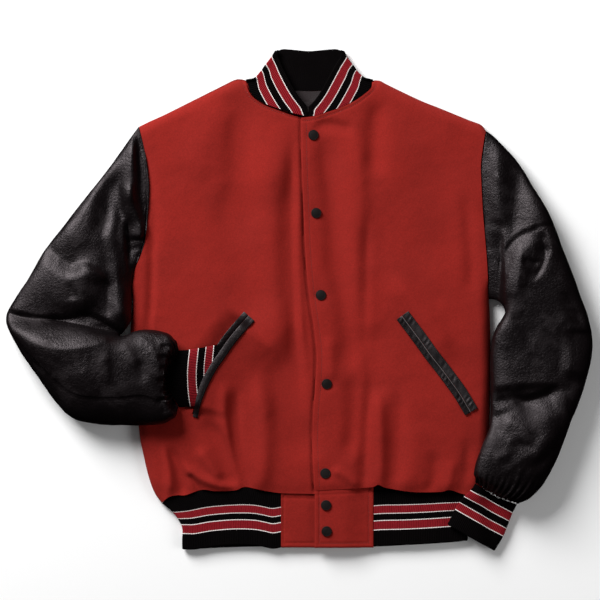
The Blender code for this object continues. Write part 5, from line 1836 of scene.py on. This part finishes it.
class JacketColours(bpy.types.PropertyGroup):
    wool: colour_setting("Wool", "Colour of the melton body", (0.262, 0.0152, 0.0110))
    leather: colour_setting("Leather", "Colour of the sleeves and welts", (0.0026, 0.0015, 0.0018))
    rib: colour_setting("Rib knit", "Ground colour of the knitted pieces", (0.0013, 0.0008, 0.0009))
    stripe: colour_setting("Stripe", "Colour of the knitted stripes", (0.225, 0.0112, 0.0165))
    line: colour_setting("Line", "Colour of the fine lines beside the stripes", (0.90, 0.82, 0.79))
    lining: colour_setting("Lining", "Colour of the satin at the neck", (0.025, 0.018, 0.019))
    enamel: colour_setting("Snaps", "Colour of the snap caps", (0.007, 0.0052, 0.005))
    thread: colour_setting("Thread", "Colour of the topstitching on wool", (0.16, 0.010, 0.008))
    floor: colour_setting("Floor", "Colour of the surface below the jacket", (0.94, 0.94, 0.94))


# ---------------------------------------------------------------- operators


class JACKET_OT_body(bpy.types.Operator):
    """Make the wool body: back, right front and left front"""

    bl_idname = "jacket.body"
    bl_label = "Wool Body"

    def execute(self, context):
        wool = [finish("melton_wool")]
        back = make_back(wool)
        right = make_front_right(wool)
        left = make_front_left(wool)
        return {"FINISHED"}


class JACKET_OT_sleeves(bpy.types.Operator):
    """Make the two leather sleeves"""

    bl_idname = "jacket.sleeves"
    bl_label = "Leather Sleeves"

    def execute(self, context):
        leather = [finish("sleeve_leather")]
        right = make_sleeve("sleeve_right", SLEEVE_RIGHT, SIDE_RIGHT, PLEATS_RIGHT, leather, 2)
        left = make_sleeve("sleeve_left", SLEEVE_LEFT, SIDE_LEFT, PLEATS_LEFT, leather, 5)
        return {"FINISHED"}


class JACKET_OT_knits(bpy.types.Operator):
    """Make the rib-knit collar, cuffs and waistband"""

    bl_idname = "jacket.knits"
    bl_label = "Rib Knit"

    def execute(self, context):
        cuff_looks, band_looks, collar_looks = (
            [finish(f"{name}_knit"), finish("plain_knit")] for name in ("cuff", "waistband", "collar")
        )
        cuff_right = make_cuff("cuff_right", CUFF_RIGHT, below_cuff_right, cuff_looks)
        cuff_left = make_cuff("cuff_left", CUFF_LEFT, below_cuff_left, cuff_looks)
        waistband = make_waistband(band_looks)
        collar = make_collar(collar_looks)
        return {"FINISHED"}


class JACKET_OT_tabs(bpy.types.Operator):
    """Make the wool ends of the waistband"""

    bl_idname = "jacket.tabs"
    bl_label = "Waistband Ends"

    def execute(self, context):
        wool = [finish("melton_wool")]
        right = make_tab("tab_right", TAB_RIGHT, HEM_RIGHT, tab_right_height, 3.0, wool)
        left = make_tab("tab_left", TAB_LEFT, HEM_LEFT, tab_left_height, 0.0, wool)
        return {"FINISHED"}


class JACKET_OT_lining(bpy.types.Operator):
    """Make the satin that shows in the neck"""

    bl_idname = "jacket.lining"
    bl_label = "Neck Lining"

    def execute(self, context):
        satin = make_lining([finish("neck_satin")])
        return {"FINISHED"}


class JACKET_OT_pockets(bpy.types.Operator):
    """Make the leather welts of the two pockets"""

    bl_idname = "jacket.pockets"
    bl_label = "Pocket Welts"

    def execute(self, context):
        surfaces = {side: Surface(f"front_{side}_cloth") for side in ("right", "left")}
        slits = {"right": SLIT_RIGHT, "left": SLIT_LEFT}
        for side, place, last, near, far, lip, narrowed, pinched, leather in WELTS:
            name, look = f"welt_{side}_{place}", [finish(leather)]
            surface, slit = surfaces[side], slits[side]
            strip = make_welt(name, surface, slit, last, near, far, lip, narrowed, pinched, look)
        return {"FINISHED"}


class JACKET_OT_snaps(bpy.types.Operator):
    """Make the seven snap caps"""

    bl_idname = "jacket.snaps"
    bl_label = "Snaps"

    def execute(self, context):
        left, tab = Surface("front_left_cloth"), Surface("tab_left_cloth")
        for index, (x, y) in enumerate(snap_places(), start=1):
            make_snap(index, left if y > TAB_TOP else tab, x, y, [finish("snap_enamel")])
        return {"FINISHED"}


class JACKET_OT_sewing(bpy.types.Operator):
    """Sew the topstitching on the wool and the leather"""

    bl_idname = "jacket.sewing"
    bl_label = "Topstitching"

    def execute(self, context):
        left, right = Surface("front_left_cloth"), Surface("front_right_cloth")
        near, far = TAB_LEFT[0] + TAB_STITCH, TAB_LEFT[1] - TAB_STITCH
        low, high = TAB_BOTTOM + TAB_STITCH, TAB_SEWN_TO
        box = np.array([(near, high), (near, low), (far, low), (far, high)])
        make_stitches("body_stitches", [
            (left, offset_path(FRONT_EDGE, 0.01, 0.985, -PLACKET_STITCH)),
            (left, offset_path(NECK_LEFT, 0.06, 0.98, NECK_STITCH)),
            (right, offset_path(NECK_RIGHT, 0.04, 0.66, -NECK_STITCH)),
            (Surface("tab_left_cloth"), box),
        ], [finish("red_thread")])
        welts = [
            (Surface(f"{name}_leather"), offset_path(slit, 0.02, 0.98, offset))
            for name, slit, offset in (
                ("welt_right_outer", SLIT_RIGHT, 6.2), ("welt_left_inner", SLIT_LEFT, 9.7),
                ("welt_left_outer", SLIT_LEFT, -8.6),
            )
        ]
        make_stitches("welt_stitches", welts, [finish("black_thread")])
        return {"FINISHED"}


class JACKET_OT_stage(bpy.types.Operator):
    """Make the floor, the lights and the camera"""

    bl_idname = "jacket.stage"
    bl_label = "Stage"

    def execute(self, context):
        scene = context.scene
        scene.view_settings.view_transform = "Standard"
        sheet = bmesh.new()
        bmesh.ops.create_grid(sheet, x_segments=8, y_segments=8, size=6.0)
        bmesh.ops.translate(sheet, vec=(0.0, 0.0, FLOOR), verts=sheet.verts)
        mesh = bpy.data.meshes.new("floor")
        sheet.to_mesh(mesh)
        sheet.free()
        mesh.materials.append(finish("studio_paper"))
        floor = bpy.data.objects.new("floor", mesh)
        scene.collection.objects.link(floor)
        floor.visible_glossy = False

        world = scene.world or bpy.data.worlds.new("studio")
        scene.world = world
        world.use_nodes = True
        world.cycles_visibility.glossy = False
        sky = Nodes(world.node_tree)
        seen = sky.make("ShaderNodeLightPath").outputs["Is Camera Ray"]
        sky.fill(world.node_tree.nodes["Background"], {
            "Color": (1.0, 1.0, 1.0, 1.0),
            "Strength": sky.span(seen, 0.0, 1.0, AMBIENT, BACKDROP),
        })
        for name, place, size, power in LIGHTS:
            lamp = bpy.data.lights.new(name, "AREA")
            lamp.shape = "RECTANGLE"
            lamp.size, lamp.size_y = size
            lamp.energy = power
            made = bpy.data.objects.new(name, lamp)
            made.location = place
            made.rotation_euler = (-Vector(place)).to_track_quat("-Z", "Y").to_euler()
            made.visible_glossy = name == "key"
            scene.collection.objects.link(made)

        lens = bpy.data.cameras.new("camera")
        lens.lens, lens.sensor_width = LENS, SENSOR
        lens.clip_start, lens.clip_end = 0.1, 50.0
        camera = bpy.data.objects.new("camera", lens)
        camera.location = (0.0, VIEW_CENTRE, scene.jacket_sizes.stand_off + MIDDLE_HEIGHT)
        scene.collection.objects.link(camera)
        scene.camera = camera
        return {"FINISHED"}


class JACKET_PT_panel(bpy.types.Panel):
    bl_label = "Varsity Jacket"
    bl_idname = "JACKET_PT_panel"
    bl_space_type = "VIEW_3D"
    bl_region_type = "UI"
    bl_category = "Jacket"

    def draw(self, context):
        layout = self.layout
        for group in (context.scene.jacket_sizes, context.scene.jacket_colours):
            box = layout.box()
            for name in group.bl_rna.properties.keys():
                if name not in ("rna_type", "name"):
                    box.prop(group, name)
        for step in STEPS:
            layout.operator(step.bl_idname)


STEPS = (
    JACKET_OT_body, JACKET_OT_sleeves, JACKET_OT_knits, JACKET_OT_tabs, JACKET_OT_lining,
    JACKET_OT_pockets, JACKET_OT_snaps, JACKET_OT_sewing, JACKET_OT_stage,
)


def register():
    for item in (JacketSizes, JacketColours, *STEPS, JACKET_PT_panel):
        bpy.utils.register_class(item)
    bpy.types.Scene.jacket_sizes = bpy.props.PointerProperty(type=JacketSizes)
    bpy.types.Scene.jacket_colours = bpy.props.PointerProperty(type=JacketColours)


def unregister():
    del bpy.types.Scene.jacket_colours
    del bpy.types.Scene.jacket_sizes
    for item in (JACKET_PT_panel, *reversed(STEPS), JacketColours, JacketSizes):
        bpy.utils.unregister_class(item)


def main():
    register()
    for step in STEPS:
        group, name = step.bl_idname.split(".")
        getattr(getattr(bpy.ops, group), name)()


if __name__ == "__main__":
    main()
